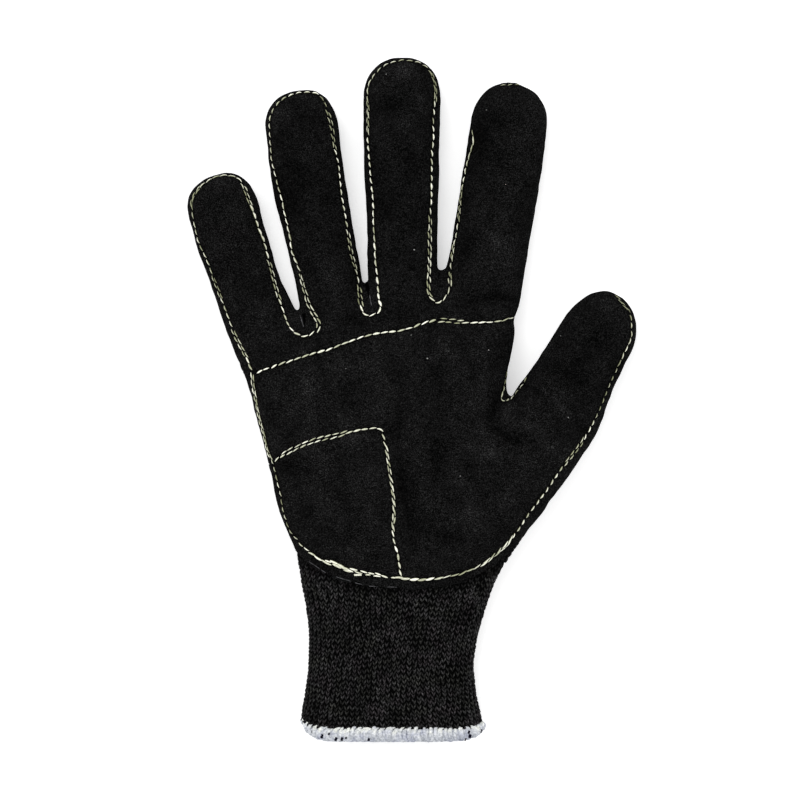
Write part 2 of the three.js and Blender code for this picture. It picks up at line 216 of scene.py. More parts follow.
# Rows of stitches as seen from the palm side, and how their style changes along them.
# Columns of "styles": from where on, thread half-width, gap between stitches, distance between twin threads
STITCH_ROWS = {
    "outer_edge": {
        "points": [
            (-82.7, 68.6), (-80.8, 61.0), (-77.7, 54.1), (-74.7, 45.8), (-71.6, 38.2), (-68.2, 29.1),
            (-64.2, 19.9), (-63.2, 17.6), (-62.1, 15.4), (-61.0, 12.1), (-60.2, 10.5), (-60.2, 8.3),
            (-59.8, 4.5), (-59.1, 0.2), (-58.2, -3.6), (-56.7, -9.0), (-55.3, -15.0), (-54.2, -19.3),
            (-52.8, -22.8), (-51.8, -25.6), (-49.3, -37.0), (-48.2, -41.6), (-46.7, -47.0),
            (-45.5, -50.0), (-43.6, -52.5), (-41.7, -54.9), (-39.6, -56.5), (-37.7, -57.9),
            (-34.4, -59.8), (-31.0, -61.8), (-26.8, -63.0), (-23.5, -64.1), (-18.7, -65.1),
            (-14.3, -65.9), (-8.3, -67.0), (-4.0, -67.3), (1.3, -68.1), (9.7, -67.7), (14.1, -67.0),
            (21.5, -65.1), (29.1, -61.4), (36.7, -54.9), (43.9, -45.0), (50.7, -35.1), (58.3, -24.5),
            (66.9, -13.2), (72.4, -2.5), (74.7, 4.0), (78.8, 13.1), (81.5, 19.2), (84.0, 24.1),
            (83.8, 31.4), (82.3, 35.1), (77.7, 40.3),
        ],
        "styles": [
            (0, 0.24, 0.7, 0), (22, 0.2, 0.7, 1.1), (30, 0.26, 0.6, 0), (43, 0.23, 0.4, 1.1),
            (55, 0.32, 0.3, 0), (63, 0.25, 0.4, 1.1), (97, 0.24, 0.9, 0), (112, 0.22, 0.9, 0),
            (134, 0.3, 0.5, 0), (137, 0, 0, 0), (171, 0.43, 0.1, 0), (190, 0.25, 0.1, 0),
            (205, 0.26, 0.1, 0.6), (221, 0.33, 0.9, 0), (255, 0.22, 0.7, 1.2), (266, 0.28, 0.9, 0),
            (277, 0.22, 1.1, 0), (297, 0.24, 0.3, 0), (310, 0.23, 0.8, 0), (318, 0.15, 0.6, 0.8),
        ],
    },
    "palm_seam": {
        "points": [
            (-59.1, 10.4), (-53.8, 12.3), (-46.2, 14.9), (-38.5, 17.4), (-30.9, 19.4), (-23.2, 22.5),
            (-16.0, 24.7), (-10.0, 25.9), (-2.5, 26.8), (3.6, 28.8), (8.9, 30.5), (14.4, 30.4),
            (18.2, 29.9), (22.6, 29.4), (26.4, 29.8), (31.4, 29.8), (39.3, 31.7),
        ],
        "styles": [
            (0, 0.3, 0.5, 0), (8, 0.37, 0.3, 0), (28, 0.3, 0.3, 0), (42, 0.35, 0.3, 0),
            (71, 0.24, 0.7, 1.25), (81, 0.29, 0.3, 0), (96, 0.23, 0.1, 0),
        ],
    },
    "heel_seam": {
        "points": [
            (-51.9, -23.4), (-48.1, -20.3), (-44.3, -18.4), (-37.0, -15.3), (-29.6, -13.6),
            (-22.2, -11.8), (-15.0, -10.5), (-11.6, -10.8), (-10.4, -12.6), (-9.3, -17.7), (-8.2, -25.3),
            (-7.0, -32.9), (-6.2, -41.0), (-6.7, -50.6), (-4.9, -58.7), (-3.6, -66.6), (-3.3, -67.4),
        ],
        "styles": [
            (0, 0.26, 0.4, 1.1), (30, 0.33, 0.4, 0), (42, 0.26, 0.5, 0), (50, 0.24, 0.5, 0.6),
            (70, 0.28, 0.4, 0.5), (82, 0.36, 0.6, 0),
        ],
    },
    "little_finger": {
        "points": [
            (-82.7, 68.6), (-83.0, 75.5), (-79.9, 81.3), (-75.3, 84.5), (-70.8, 85.6), (-65.9, 84.7),
            (-63.6, 82.1), (-61.3, 75.3), (-56.5, 63.3), (-54.4, 55.2), (-52.2, 47.2), (-50.0, 38.5),
            (-47.9, 32.4), (-45.4, 27.2), (-42.4, 24.9), (-40.1, 24.1), (-37.4, 25.3), (-35.5, 27.2),
            (-34.8, 29.4), (-36.6, 32.4), (-38.4, 36.2), (-40.2, 40.9), (-41.4, 44.7), (-42.2, 48.5),
        ],
        "styles": [
            (0, 0.22, 0.5, 0.8), (13, 0.25, 0.3, 0), (30, 0.23, 0.5, 1.2), (40, 0.48, 0.3, 0),
            (56, 0.4, 0.3, 0), (64, 0.24, 0.5, 1.25), (77, 0.32, 0.5, 0), (104, 0.24, 0.5, 1.25),
        ],
    },
    "ring_finger": {
        "points": [
            (-42.1, 48.5), (-43.9, 53.4), (-45.1, 57.5), (-46.2, 64.8), (-48.5, 74.6), (-50.8, 83.7),
            (-52.9, 93.7), (-53.7, 102.8), (-53.3, 107.3), (-51.0, 111.8), (-47.3, 115.1),
            (-42.0, 116.9), (-36.0, 116.4), (-33.1, 113.8), (-31.7, 109.6), (-30.1, 103.9),
            (-28.9, 97.0), (-27.6, 90.5), (-27.0, 85.3), (-26.2, 78.0), (-24.6, 69.0), (-22.9, 58.6),
            (-21.3, 51.6), (-19.7, 44.6), (-18.8, 35.5), (-17.3, 32.5), (-15.8, 32.1), (-13.1, 32.9),
            (-11.3, 34.8), (-12.2, 40.0), (-13.0, 47.3),
        ],
        "styles": [
            (0, 0.26, 0.4, 1.0), (4, 0.4, 0.3, 0), (14, 0.29, 0.4, 0), (30, 0.27, 0.9, 0),
            (42, 0.25, 0.9, 0), (56, 0.27, 0.9, 0), (70, 0.34, 0.8, 0), (84, 0.2, 0.9, 0),
            (90, 0.21, 0.7, 1.1), (104, 0.31, 0.9, 0), (114, 0.35, 0.8, 0), (126, 0.38, 0.8, 0),
            (134, 0.24, 0.8, 1.25), (150, 0.26, 0.7, 0), (156, 0.22, 0.5, 1.25), (166, 0.32, 0.3, 0),
            (178, 0.46, 0.4, 0),
        ],
    },
    "middle_finger": {
        "points": [
            (-13.0, 47.3), (-13.6, 57.2), (-14.0, 66.3), (-14.3, 76.2), (-14.7, 86.1), (-15.9, 95.2),
            (-16.2, 111.9), (-16.0, 119.5), (-14.1, 123.3), (-10.7, 126.6), (-6.3, 128.5), (-1.7, 129.0),
            (2.9, 128.1), (6.6, 126.0), (8.9, 121.8), (9.3, 115.7), (8.6, 108.1), (8.6, 98.0),
            (8.1, 87.6), (7.6, 66.3), (6.8, 50.0), (7.0, 40.5), (8.6, 38.2), (10.8, 37.0), (12.7, 38.6),
            (14.6, 42.0), (15.4, 49.2),
        ],
        "styles": [
            (0, 0.4, 0.4, 0), (14, 0.3, 0.6, 0), (24, 0.36, 0.8, 0), (42, 0.39, 0.8, 0),
            (54, 0.23, 0.6, 0.9), (66, 0.28, 0.4, 0), (74, 0.24, 0.9, 0), (100, 0.21, 0.5, 0.9),
            (112, 0.27, 0.9, 0), (124, 0.35, 0.8, 0), (138, 0.41, 0.8, 0), (152, 0.33, 0.8, 0),
            (157, 0.24, 0.6, 1.2), (168, 0.25, 0.6, 1.2), (182, 0.23, 0.4, 0.8), (186, 0.28, 0.3, 0),
            (198, 0.23, 0.5, 1.2),
        ],
    },
    "index_finger": {
        "points": [
            (15.4, 49.2), (16.5, 58.1), (18.1, 68.2), (19.2, 77.7), (20.7, 85.3), (21.9, 92.2),
            (23.8, 98.2), (23.4, 103.5),
        ],
        "styles": [
            (0, 0.25, 0.5, 1.2), (8, 0.27, 0.7, 0), (19, 0.23, 0.6, 1.1), (30, 0.34, 0.7, 0),
            (43, 0.32, 0.1, 0), (51, 0.21, 0.4, 0),
        ],
    },
    "index_tip": {
        "points": [(33.4, 119.6), (35.9, 120.0), (39.7, 120.2), (42.3, 119.8)],
        "styles": [(0, 0.2, 0.9, 0)],
    },
    "thumb_crotch": {
        "points": [
            (36.7, 11.6), (35.5, 5.5), (34.4, 0.9), (35.0, -0.5), (36.1, -0.4), (37.8, 0.6), (40.4, 3.2),
            (43.5, 7.4), (44.6, 9.5),
        ],
        "styles": [(0, 0.17, 0.7, 0), (8, 0.23, 0.3, 0), (16, 0.25, 0.8, 0)],
    },
}
STITCH_PITCH = 3.1
PATH_STEP = 0.4
TWIN_PHASE = 0.4
TWIN_FADE = 5

# Below this gap, stitches overlap end to end and lean more.
TIGHT_GAP = 0.2
TIGHT_OVERLAP = 0.5
TIGHT_SLANT = 1.8

# The thread: its cross-section, tones round it (a painted highlight on the crest, painted shade at the sides
# and ends), and how much its stitches differ from each other
THREAD_FLATNESS = 0.82
THREAD_SIDES = 8
THREAD_SHADE_TONES = (1.0, 0.82, 0.1, 0.0, 0.0, 0.0, 0.1, 0.82)
THREAD_END_SHADE = 0.3
THREAD_SLANT = 0.17
THREAD_STEPS = 7
THREAD_TIP = 0.15
THREAD_SINK = 0.14
THREAD_RISE = 0.26
START_SHIFT = 0.15
SPAN_CHANGE = (-0.25, 0.15)
SIDE_SHIFT = 0.06
RISE_SHIFT = 0.06
WIDTH_RANGE = (0.85, 1.35)
HEIGHT_RANGE = (0.9, 1.1)
TONE_RANGE = (0.5, 1.15)
THIN_THREAD = (0.2, 0.28)

# The outer edge's stitches where it is sewn over several times. Columns: the two ends, half-width
WRIST_DASHES = [
    ((-38.9, -57.6), (-35.8, -59.2), 0.38),
    ((-36.5, -58.9), (-33.2, -60.9), 0.42),
    ((-33.8, -60.4), (-29.8, -62.6), 0.42),
    ((-32.6, -60.6), (-29.8, -61.5), 0.34),
    ((-30.8, -60.7), (-27.2, -62.3), 0.5),
    ((-29.8, -62.0), (-26.0, -63.8), 0.5),
    ((-28.2, -61.9), (-24.7, -63.6), 0.52),
    ((-26.8, -63.1), (-23.0, -64.4), 0.5),
    ((-25.6, -64.2), (-22.5, -65.2), 0.46),
    ((-23.2, -63.7), (-20.0, -64.5), 0.42),
    ((-24.6, -63.9), (-21.6, -65.2), 0.36),
    ((-19.2, -64.6), (-16.2, -65.6), 0.33),
    ((-16.2, -65.4), (-13.6, -66.0), 0.31),
    ((-13.6, -65.5), (-11.0, -66.4), 0.33),
    ((-11.3, -66.4), (-8.5, -67.4), 0.36),
    ((-21.4, -64.7), (-18.2, -65.8), 0.3),
    ((-17.3, -66.3), (-15.0, -66.3), 0.33),
    ((-14.3, -66.7), (-11.2, -67.0), 0.33),
    ((-7.5, -67.3), (-5.6, -67.5), 0.33),
    ((-5.0, -67.1), (-2.9, -67.5), 0.3),
    ((-3.4, -67.6), (-0.6, -68.0), 0.36),
]

# How these stitches bend, sink into the suede, stand out of it, and differ in tone
DASH_BEND = 0.12
DASH_SINK = 0.1
DASH_RISE = 0.3
DASH_LIFT = 0.25
DASH_TONE_RANGE = (0.65, 1.05)

# A loose end beside the stitches at the wrist
LOOSE_THREAD = [(-21.5, -66.3), (-20.0, -66.3), (-18.5, -66.3)]

# Slits in the suede below the finger crotches: a dark wedge, painted shadow in the slit's opening, from wide
# to pointed end, with a pale cut edge
SLITS = [
    {"wedge": [(-40.5, 33.0), (-40.2, 28.0)], "half_width": 0.9, "edge": [(-42.0, 32.5), (-40.6, 27.9)]},
    {"wedge": [(-16.7, 44.7), (-15.8, 39.0)], "half_width": 0.9, "edge": [(-15.6, 40.1), (-14.8, 36.0)]},
    {"wedge": [(11.0, 48.2), (10.5, 46.0)], "half_width": 0.4, "edge": None},
]

# Pale cut fibres of the suede's edge at the wrist, as seen from the palm side
CUT_FIBRES = [
    [(-39.0, -61.2), (-36.8, -62.6), (-34.6, -64.3)],
    [(-34.4, -64.4), (-32.3, -65.7)],
    [(-28.5, -67.0), (-25.6, -68.0), (-22.8, -68.8)],
    [(-21.3, -69.4), (-18.4, -70.1)],
    [(-15.9, -70.7), (-12.2, -70.9)],
    [(-8.9, -71.0), (-5.1, -71.1)],
]

# Bits of pale lint on the suede. Columns: x, y, size
LINT = [
    (1.4, 57.3, 0.28), (6.4, 16.0, 0.28), (0.2, 24.9, 0.18), (-24.6, 12.1, 0.16), (29.8, 19.2, 0.24),
    (57.0, 24.6, 0.15), (59.9, -6.5, 0.2), (28.7, 110.5, 0.15), (36.1, 82.1, 0.16), (-9.2, 123.9, 0.17),
    (18.9, -28.7, 0.19),
]

# Paler and darker patches of the suede: partly its own mottling, partly painted light on its swellings and
# painted shade in its folds. Columns: x, y, half length, half width, turn in degrees, change
MOTTLE_LIGHT_AND_SHADE_PATCHES = [
    (-37.8, 5.9, 11, 3.6, 95, 0.9),
    (-24.9, 3.2, 6, 4, 90, -0.4),
    (-11.6, 14.6, 8, 3, 100, 0.35),
    (15, 18.4, 8, 1.5, -45, 0.4),
    (26.4, 5.9, 9, 2.6, 85, 0.7),
    (-21.1, -13.9, 4, 3.2, 0, 0.9),
    (-47.3, -24.9, 5, 3, 0, -0.8),
    (-14.6, -29.5, 6, 4, 90, 0.4),
    (-15.4, -41.6, 5, 2, 90, 0.4),
    (-24.1, -56.8, 5, 2, 0, 0.5),
    (-2.9, -29.5, 5, 3, 90, -0.9),
    (-0.2, -42.4, 7, 4, 90, -0.9),
    (10.1, -20.7, 14, 3.2, 93, -0.75),
    (16.9, -51.9, 8, 2.5, -10, -0.8),
    (22.6, -42.4, 5, 4, 0, 0.8),
    (34, -37.8, 4, 3, 0, 0.7),
    (29.1, -19.6, 6, 2.6, -10, 0.8),
    (51.1, -18.8, 8, 3, 40, 0.5),
    (36.7, -4.4, 4, 2.5, 70, 0.8),
    (43.5, -9.3, 5, 2.2, -30, 0.6),
    (57.6, -2.9, 4.5, 2, -65, 0.8),
    (60.6, 10.4, 11, 3, -20, -0.2),
    (68, 18, 16, 12, 60, -0.65),
    (44.3, 10.8, 4, 3, 0, -0.5),
    (75.8, 35.2, 5.5, 3.5, -45, 0.6),
    (68.2, 26.8, 6, 4, 0, -0.3),
    (-61, 42, 6, 5, 0, -0.3),
    (-70.9, 83.8, 5, 2.5, 0, 0.6),
    (-45.8, 80.8, 11, 5, 100, -0.7),
    (-30.6, 76.2, 5, 3, 0, -0.5),
    (-22.2, 31.4, 7, 2.5, 0, -0.9),
    (-3.6, 124.8, 6, 3.5, 0, 0.7),
    (-8.6, 111.9, 5, 3, 0, -0.8),
    (-4.4, 105.8, 3.8, 3, 0, 0.8),
    (-3, 90, 30, 14, 90, -0.35),
    (-36, 80, 24, 12, 99, -0.35),
    (-8.6, 70.5, 5, 4, 0, -0.6),
    (31, 95, 14, 8, 80, -0.45),
    (47.3, 111.2, 6, 4.5, -60, 0.7),
    (34, 105.8, 6, 4, 20, -0.8),
    (26.4, 99.8, 5, 3, 90, -0.7),
    (35.2, 69.4, 4, 2.5, 30, 0.7),
    (32.9, 60.2, 6.5, 2.8, -35, 1.2),
    (35.2, 52.6, 4, 2.5, 0, 0.6),
    (21.5, 59.1, 7, 2.5, 80, -0.8),
    (30.2, 38.9, 7, 2.2, 3, -1.2),
    (-38, 23, 18, 3.5, 18, -0.3),
    (-12, 31, 14, 4, 12, -0.35),
    (20, 34, 14, 4, 4, -0.35),
    (20.5, 78, 26, 3.6, 82, -0.5),
    (29, 11, 12, 10, 0, -0.25),
]
PATCH_STRENGTH = 1.95

# Wrinkles of the suede: points on each one's bottom, half-width and strength
WRINKLES = [
    ([(33.0, -0.6), (31.0, -4.4), (30.0, -7.8), (31.7, -10.5), (35.9, -13.1), (40.5, -15.4)], 2.0, 1.0),
    (
        [(0.8, 22), (-2.1, 10.6), (-3.6, -3.6), (-4.9, -10.3), (-4.4, -22.6), (-3, -36.9), (-0.2, -46.4)],
        1.9,
        0.4,
    ),
    ([(52.3, 12.4), (57, 11.4), (64.5, 6.7)], 2.0, 0.4),
    ([(57.6, -0.2), (60.4, -2), (62.4, -4.4)], 1.3, 0.6),
    ([(43.1, 5.9), (47.2, 4)], 0.9, 0.8),
    ([(62.9, -8.9), (66, -12)], 1.3, 0.6),
    ([(27.6, -21.7), (28.9, -23.6), (30.4, -24.7)], 0.6, 1.0),
]

# How dark the painted shade in the wrinkles is and how deep they are, how dark the digits are, how dark the
# painted shade beside the seams is, and how the nap is brushed
WRINKLE_SHADE = 0.58
WRINKLE_DEPTH = 0.4
DIGIT_DARKENING = 0.08
SEAM_GROOVE_SHADE = 0.45
SEAM_SHADE_REACH = 0.9
NAP_DIRECTION = 38
NAP_STRETCH = 0.22

# Unevenness. Columns: length of the waves, seed, height
WAVE_COUNT = 20
SUEDE_EDGE_WAVES = (9, SEED, 0.15)
WRIST_EDGE_WAVES = (7, SEED + 1, 0.2)
SUEDE_SWELL = (16, SEED + 2)
SUEDE_RIPPLE = (5, SEED + 3, 0.06)
SUEDE_TONE_WAVES = (13, SEED + 4, 0.16)
LOOP_TONE_WAVES = (14, SEED + 9)
LOOP_DRIFT = (12, SEED + 10, 0.12)
LOOP_SLUMP = (10, SEED + 11, 0.1)
LOOP_RIPPLE = (4, SEED + 12, 0.26)

# How high the suede swells on the glove's sides and on its top, and how it lies along its stitches
SWELL_AT_SIDES = 0.06
SWELL_ON_TOP = 0.16
GROOVE_DEPTH = 0.42
GROOVE_HALF_WIDTH = 0.8
PUCKER_HEIGHT = 0.26
PUCKER_DISTANCE = 1.6
PUCKER_HALF_WIDTH = 1.5
BORDER_SINK = 0.22
PANEL_GAP = 0.05
SUEDE_RIM = 0.25


def power(value, exponent):
    """A power of the value's size that keeps its sign."""
    return np.sign(value) * np.abs(value) ** exponent


def smoothstep(value, low, high):
    """A smooth rise from 0 at low to 1 at high."""
    t = np.clip((value - low) / (high - low), 0, 1)
    return t * t * (3 - 2 * t)


def along(table, position):
    """A table's columns between its rows, by cubic curves that never overshoot them."""
    rows = np.array(table, float)
    if rows[-1, 0] < rows[0, 0]:
        rows = rows[::-1]
    x = rows[:, 0]
    slope = np.diff(rows, axis=0) / np.diff(x)[:, None]
    before, after = slope[:-1], slope[1:]
    same_way = before * after > 0
    middle = np.where(same_way, 2 * before * after / np.where(same_way, before + after, 1), 0)
    tangent = np.vstack([slope[:1], middle, slope[-1:]])
    position = np.asarray(position, float)
    i = np.clip(np.searchsorted(x, position) - 1, 0, len(x) - 2)
    span = (x[i + 1] - x[i])[..., None]
    t = np.clip((position[..., None] - x[i][..., None]) / span, 0, 1)
    rise = rows[i + 1] - rows[i]
    a = tangent[i] * span - rise
    b = rise - tangent[i + 1] * span
    return rows[i] + t * rise + t * (1 - t) * ((1 - t) * a + t * b)


def section(angle, half_width, top, lift, offset, shrink=1.0, rise=1.0):
    """Sideways and upward coordinates of a cross-section, moved outwards by offset."""
    belly = lift + (top - lift) * BELLY_SHARE
    upper = np.sin(angle) > 0
    fullness = np.where(upper, PALM_FULLNESS, BACK_FULLNESS)
    palm_depth = (top - belly) * rise + offset
    back_depth = (belly - lift + PRESSED_DEPTH) * rise + offset
    depth = np.where(upper, palm_depth, back_depth)
    lowest = belly - (belly - lift) * rise - offset
    side = (half_width * shrink + offset) * power(np.cos(angle), 2 / fullness)
    return side, np.maximum(belly + depth * power(np.sin(angle), 2 / fullness), lowest)


def crease_depth(x, y):
    """How deep the crease down the middle of the palm is at a place."""
    across = np.exp(-(((x - CREASE_X) / CREASE_HALF_WIDTH) ** 2))
    rise = smoothstep(y, CREASE_FROM, CREASE_FROM + CREASE_FADE)
    fall = 1 - smoothstep(y, CREASE_TO - CREASE_FADE, CREASE_TO)
    return CREASE_DEPTH * across * rise * fall


def mouth_rise(y, side):
    """How far the cuff's mouth turns up at its two sides. side runs from -1 to 1 across the cuff."""
    near_mouth = 1 - smoothstep(y, CUFF_END, WRIST_LINE)
    rise = np.where(side < 0, MOUTH_RISE_LEFT, MOUTH_RISE_RIGHT)
    return rise * near_mouth * np.abs(side) ** MOUTH_RISE_POWER


def trunk_surface(y, angle, offset):
    """Points of the trunk. y, angle and offset are arrays of one shape."""
    _, left, right, top = np.moveaxis(along(TRUNK_ROWS, y), -1, 0)
    half_width = (right - left) / 2
    side, height = section(angle, half_width, top, 0, offset)
    x = (left + right) / 2 + side
    dent = np.where(height > top / 2, crease_depth(x, y), 0)
    lifted = y + mouth_rise(y, side / (half_width + offset))
    return np.stack([x, lifted, np.maximum(height - dent, 0)], axis=-1)


def ring_angles(count):
    """Angles round a section, evenly spaced from the middle of its underside."""
    return 2 * np.pi * (np.arange(count) + 0.5) / count - np.pi / 2


def trunk_rings(stations, count, offset):
    """Rings of the trunk, one at each station along y."""
    y, angle = np.meshgrid(stations, ring_angles(count), indexing="ij")
    return trunk_surface(y, angle, np.full_like(y, offset))


def digit_rings(digit, step, count, offset):
    """Rings of one digit from its root to its rounded tip."""
    dome_length, dome_power, lean = digit["dome"]
    angle = ring_angles(count)
    turn = math.radians(digit["turn"])
    forward = np.array([math.sin(turn), math.cos(turn)])
    sideways = np.array([math.cos(turn), -math.sin(turn)])

    def place(back, shift, side, height):
        flat = np.array(digit["tip"]) - back * forward + (shift + side)[:, None] * sideways
        return np.column_stack([flat, height])

    root = digit["rows"][0][0]
    backs = np.linspace(root, dome_length, int((root - dome_length) / step) + 1)
    rings = []
    for back in backs:
        _, shift, half_width, top, lift = along(digit["rows"], back)
        rings.append(place(back, shift, *section(angle, half_width, top, lift, offset)))
    _, shift, half_width, top, lift = digit["rows"][-1]
    for bend in np.radians(np.linspace(5, 87, int(dome_length / step) + 6)):
        reach = (dome_length + offset) * math.sin(bend) ** (2 / dome_power)
        shrink = math.cos(bend) ** (2 / dome_power)
        rise = math.cos(bend) ** DOME_ROUNDNESS
        side, height = section(angle, half_width, top, lift, offset * shrink, shrink, rise)
        rings.append(place(dome_length - reach, shift - lean * (1 - shrink), side, height))
    return np.array(rings)


def loft(rings):
    """A closed solid through rings, as points and triangles."""
    count, around = rings.shape[:2]
    points = np.vstack([rings.reshape(-1, 3), rings[0].mean(0), rings[-1].mean(0)])
    k = np.arange(around)
    after = (k + 1) % around
    faces = []
    for r in range(count - 1):
        low, high = r * around, (r + 1) * around
        faces.append(np.column_stack([low + k, high + after, low + after]))
        faces.append(np.column_stack([low + k, high + k, high + after]))
    last = (count - 1) * around
    faces.append(np.column_stack([np.full(around, len(points) - 2), k, after]))
    faces.append(np.column_stack([np.full(around, len(points) - 1), last + after, last + k]))
    return points, np.vstack(faces)


def joined(parts):
    """Several meshes as one."""
    starts = np.cumsum([0] + [len(points) for points, _ in parts[:-1]])
    points = np.vstack([points for points, _ in parts])
    return points, np.vstack([faces + start for (_, faces), start in zip(parts, starts)])


def mesh_data(name, points, faces):
    """Blender's mesh of points in millimetres and faces of one number of corners."""
    data = bpy.data.meshes.new(name)
    count, corners = faces.shape
    data.vertices.add(len(points))
    data.vertices.foreach_set("co", (points * MM).astype(np.float32).ravel())
    data.loops.add(count * corners)
    data.loops.foreach_set("vertex_index", faces.astype(np.int32).ravel())
    data.polygons.add(count)
    data.polygons.foreach_set("loop_start", np.arange(0, count * corners, corners, dtype=np.int32))
    data.update(calc_edges=True)
    return data


def new_object(name, data):
    """An object in the scene."""
    made = bpy.data.objects.new(name, data)
    bpy.context.scene.collection.objects.link(made)
    return made


def remeshed(points, faces, voxel):
    """One even skin round overlapping solids: its points, triangles and edges."""
    shape = new_object("shape", mesh_data("shape", points, faces))
    modifier = shape.modifiers.new("voxels", "REMESH")
    modifier.mode = "VOXEL"
    modifier.voxel_size = voxel * MM
    made = shape.evaluated_get(bpy.context.evaluated_depsgraph_get()).to_mesh()
    out = np.empty(len(made.vertices) * 3, np.float32)
    made.vertices.foreach_get("co", out)
    edges = np.empty(len(made.edges) * 2, np.int32)
    made.edges.foreach_get("vertices", edges)
    made.calc_loop_triangles()
    triangles = np.empty(len(made.loop_triangles) * 3, np.int32)
    made.loop_triangles.foreach_get("vertices", triangles)
    bpy.data.objects.remove(shape)
    return out.reshape(-1, 3).astype(float) / MM, triangles.reshape(-1, 3), edges.reshape(-1, 2)


def relaxed(points, edges, passes, share=0.5):
    """The points after each has moved towards its neighbours' middle, passes times."""
    a, b = edges.T
    size = len(points)
    count = np.bincount(edges.ravel(), minlength=size)[:, None]
    for _ in range(passes):
        total = np.empty_like(points)
        for k in range(points.shape[1]):
            total[:, k] = np.bincount(a, points[b, k], size) + np.bincount(b, points[a, k], size)
        points = points + share * (total / count - points)
    return points


def point_normals(points, triangles):
    """Each point's normal, from the triangles round it."""
    a, b, c = (points[triangles[:, k]] for k in range(3))
    face = np.cross(b - a, c - a)
    total = np.empty_like(points)
    for k in range(3):
        total[:, k] = np.bincount(triangles.ravel(), np.repeat(face[:, k], 3), len(points))
    return unit(total)


def unit(vectors):
    return vectors / np.maximum(np.linalg.norm(vectors, axis=-1, keepdims=True), 1e-12)


SKIN_STEP = 1.5
TRUNK_SIDES = 160
DIGIT_SIDES = 72


def hand_skin(offset, voxel, passes, start=CUFF_END):
    """The smooth outer surface of the whole glove from start on, moved outwards by offset."""
    stations = np.arange(start, TRUNK_ROWS[-1][0] + 0.1, SKIN_STEP)
    trunk = loft(trunk_rings(stations, TRUNK_SIDES, offset))
    digits = [loft(digit_rings(digit, SKIN_STEP, DIGIT_SIDES, offset)) for digit in DIGITS.values()]
    points, triangles, edges = remeshed(*joined([trunk, *digits]), voxel)
    return relaxed(points, edges, passes), triangles


def tree_of(points, triangles):
    """A mesh prepared for finding its nearest points and where rays hit it."""
    return BVHTree.FromPolygons(points.tolist(), triangles.tolist())


def path_length(path):
    """The length of a polyline up to each of its points."""
    return np.concatenate([[0], np.cumsum(np.linalg.norm(np.diff(path, axis=0), axis=1))])


def evenly(line, step):
    """Evenly spaced points on a polyline."""
    length = path_length(line)
    at = np.linspace(0, length[-1], max(int(round(length[-1] / step)), 2) + 1)
    return np.stack([np.interp(at, length, line[:, k]) for k in range(line.shape[1])], axis=1)


def smooth_line(points, step):
    """Evenly spaced points on a smooth curve through the given ones."""
    points = np.array(points, float)
    padded = np.vstack([2 * points[0] - points[1], points, 2 * points[-1] - points[-2]])
    t = np.linspace(0, 1, 12, endpoint=False)[:, None]
    parts = [
        0.5 * (2 * b + (c - a) * t + (2 * a - 5 * b + 4 * c - d) * t**2 + (3 * b - a - 3 * c + d) * t**3)
        for a, b, c, d in zip(padded, padded[1:], padded[2:], padded[3:])
    ]
    return evenly(np.vstack([*parts, points[-1:]]), step)


def line_distance(points, line):
    """Distance in plan to a polyline."""
    nearest = np.full(len(points), np.inf)
    x, y = points[:, 0], points[:, 1]
    for (ax, ay), (bx, by) in zip(line, line[1:]):
        dx, dy = bx - ax, by - ay
        t = np.clip(((x - ax) * dx + (y - ay) * dy) / (dx * dx + dy * dy), 0, 1)
        nearest = np.minimum(nearest, np.hypot(x - ax - t * dx, y - ay - t * dy))
    return nearest


def region_distance(points, outline):
    """Distance in plan to a closed outline, positive inside it."""
    inside = np.zeros(len(points), bool)
    x, y = points[:, 0], points[:, 1]
    closed = [*outline, outline[0]]
    for (ax, ay), (bx, by) in zip(closed, closed[1:]):
        crosses = (ay > y) != (by > y)
        inside ^= crosses & (x < ax + (y - ay) / (by - ay if by != ay else 1) * (bx - ax))
    nearest = line_distance(points, closed)
    return np.where(inside, nearest, -nearest)


def waves(points, length, seed, height=1.0):
    """Smooth unevenness of about the given height, with waves of roughly the given length."""
    rng = np.random.default_rng(seed)
    direction = unit(rng.normal(size=(WAVE_COUNT, 3)))
    pace = 2 * np.pi / (length * rng.uniform(0.7, 1.5, WAVE_COUNT))
    phase = rng.uniform(0, 2 * np.pi, WAVE_COUNT)
    total = np.zeros(len(points))
    for d, p, start in zip(direction, pace, phase):
        total += np.sin(points @ d * p + start)
    return height * (total / math.sqrt(WAVE_COUNT / 2))


SEAM_STEP = 2.5
WRIST_REGION = [
    (-FAR, WRIST_EDGE[0][1]),
    *smooth_line(WRIST_EDGE, SEAM_STEP).tolist(),
    (FAR, WRIST_EDGE[-1][1]),
    (FAR, FAR),
    (-FAR, FAR),
]


def suede_cover(points):
    """How far inside the suede's outer edge a point of the hand lies, in millimetres."""
    wrapped = smoothstep(region_distance(points, WRAP_OUTLINE), -WRAP_BLEND, WRAP_BLEND)
    edge = SUEDE_EDGE_HEIGHT + (SUEDE_WRAP_HEIGHT - SUEDE_EDGE_HEIGHT) * wrapped
    uneven = waves(points, *SUEDE_EDGE_WAVES)
    at_wrist = region_distance(points, WRIST_REGION) + waves(points, *WRIST_EDGE_WAVES)
    return np.minimum(points[:, 2] - edge - uneven, at_wrist)


def wrinkling(points, normals):
    """How deep in a wrinkle a point of the suede's upper face lies, from 0 to about 1."""
    total = np.zeros(len(points))
    for line, half_width, strength in WRINKLES:
        total += strength * np.exp(-((line_distance(points, line) / half_width) ** 2))
    return total * smoothstep(normals[:, 2], 0.1, 0.5)


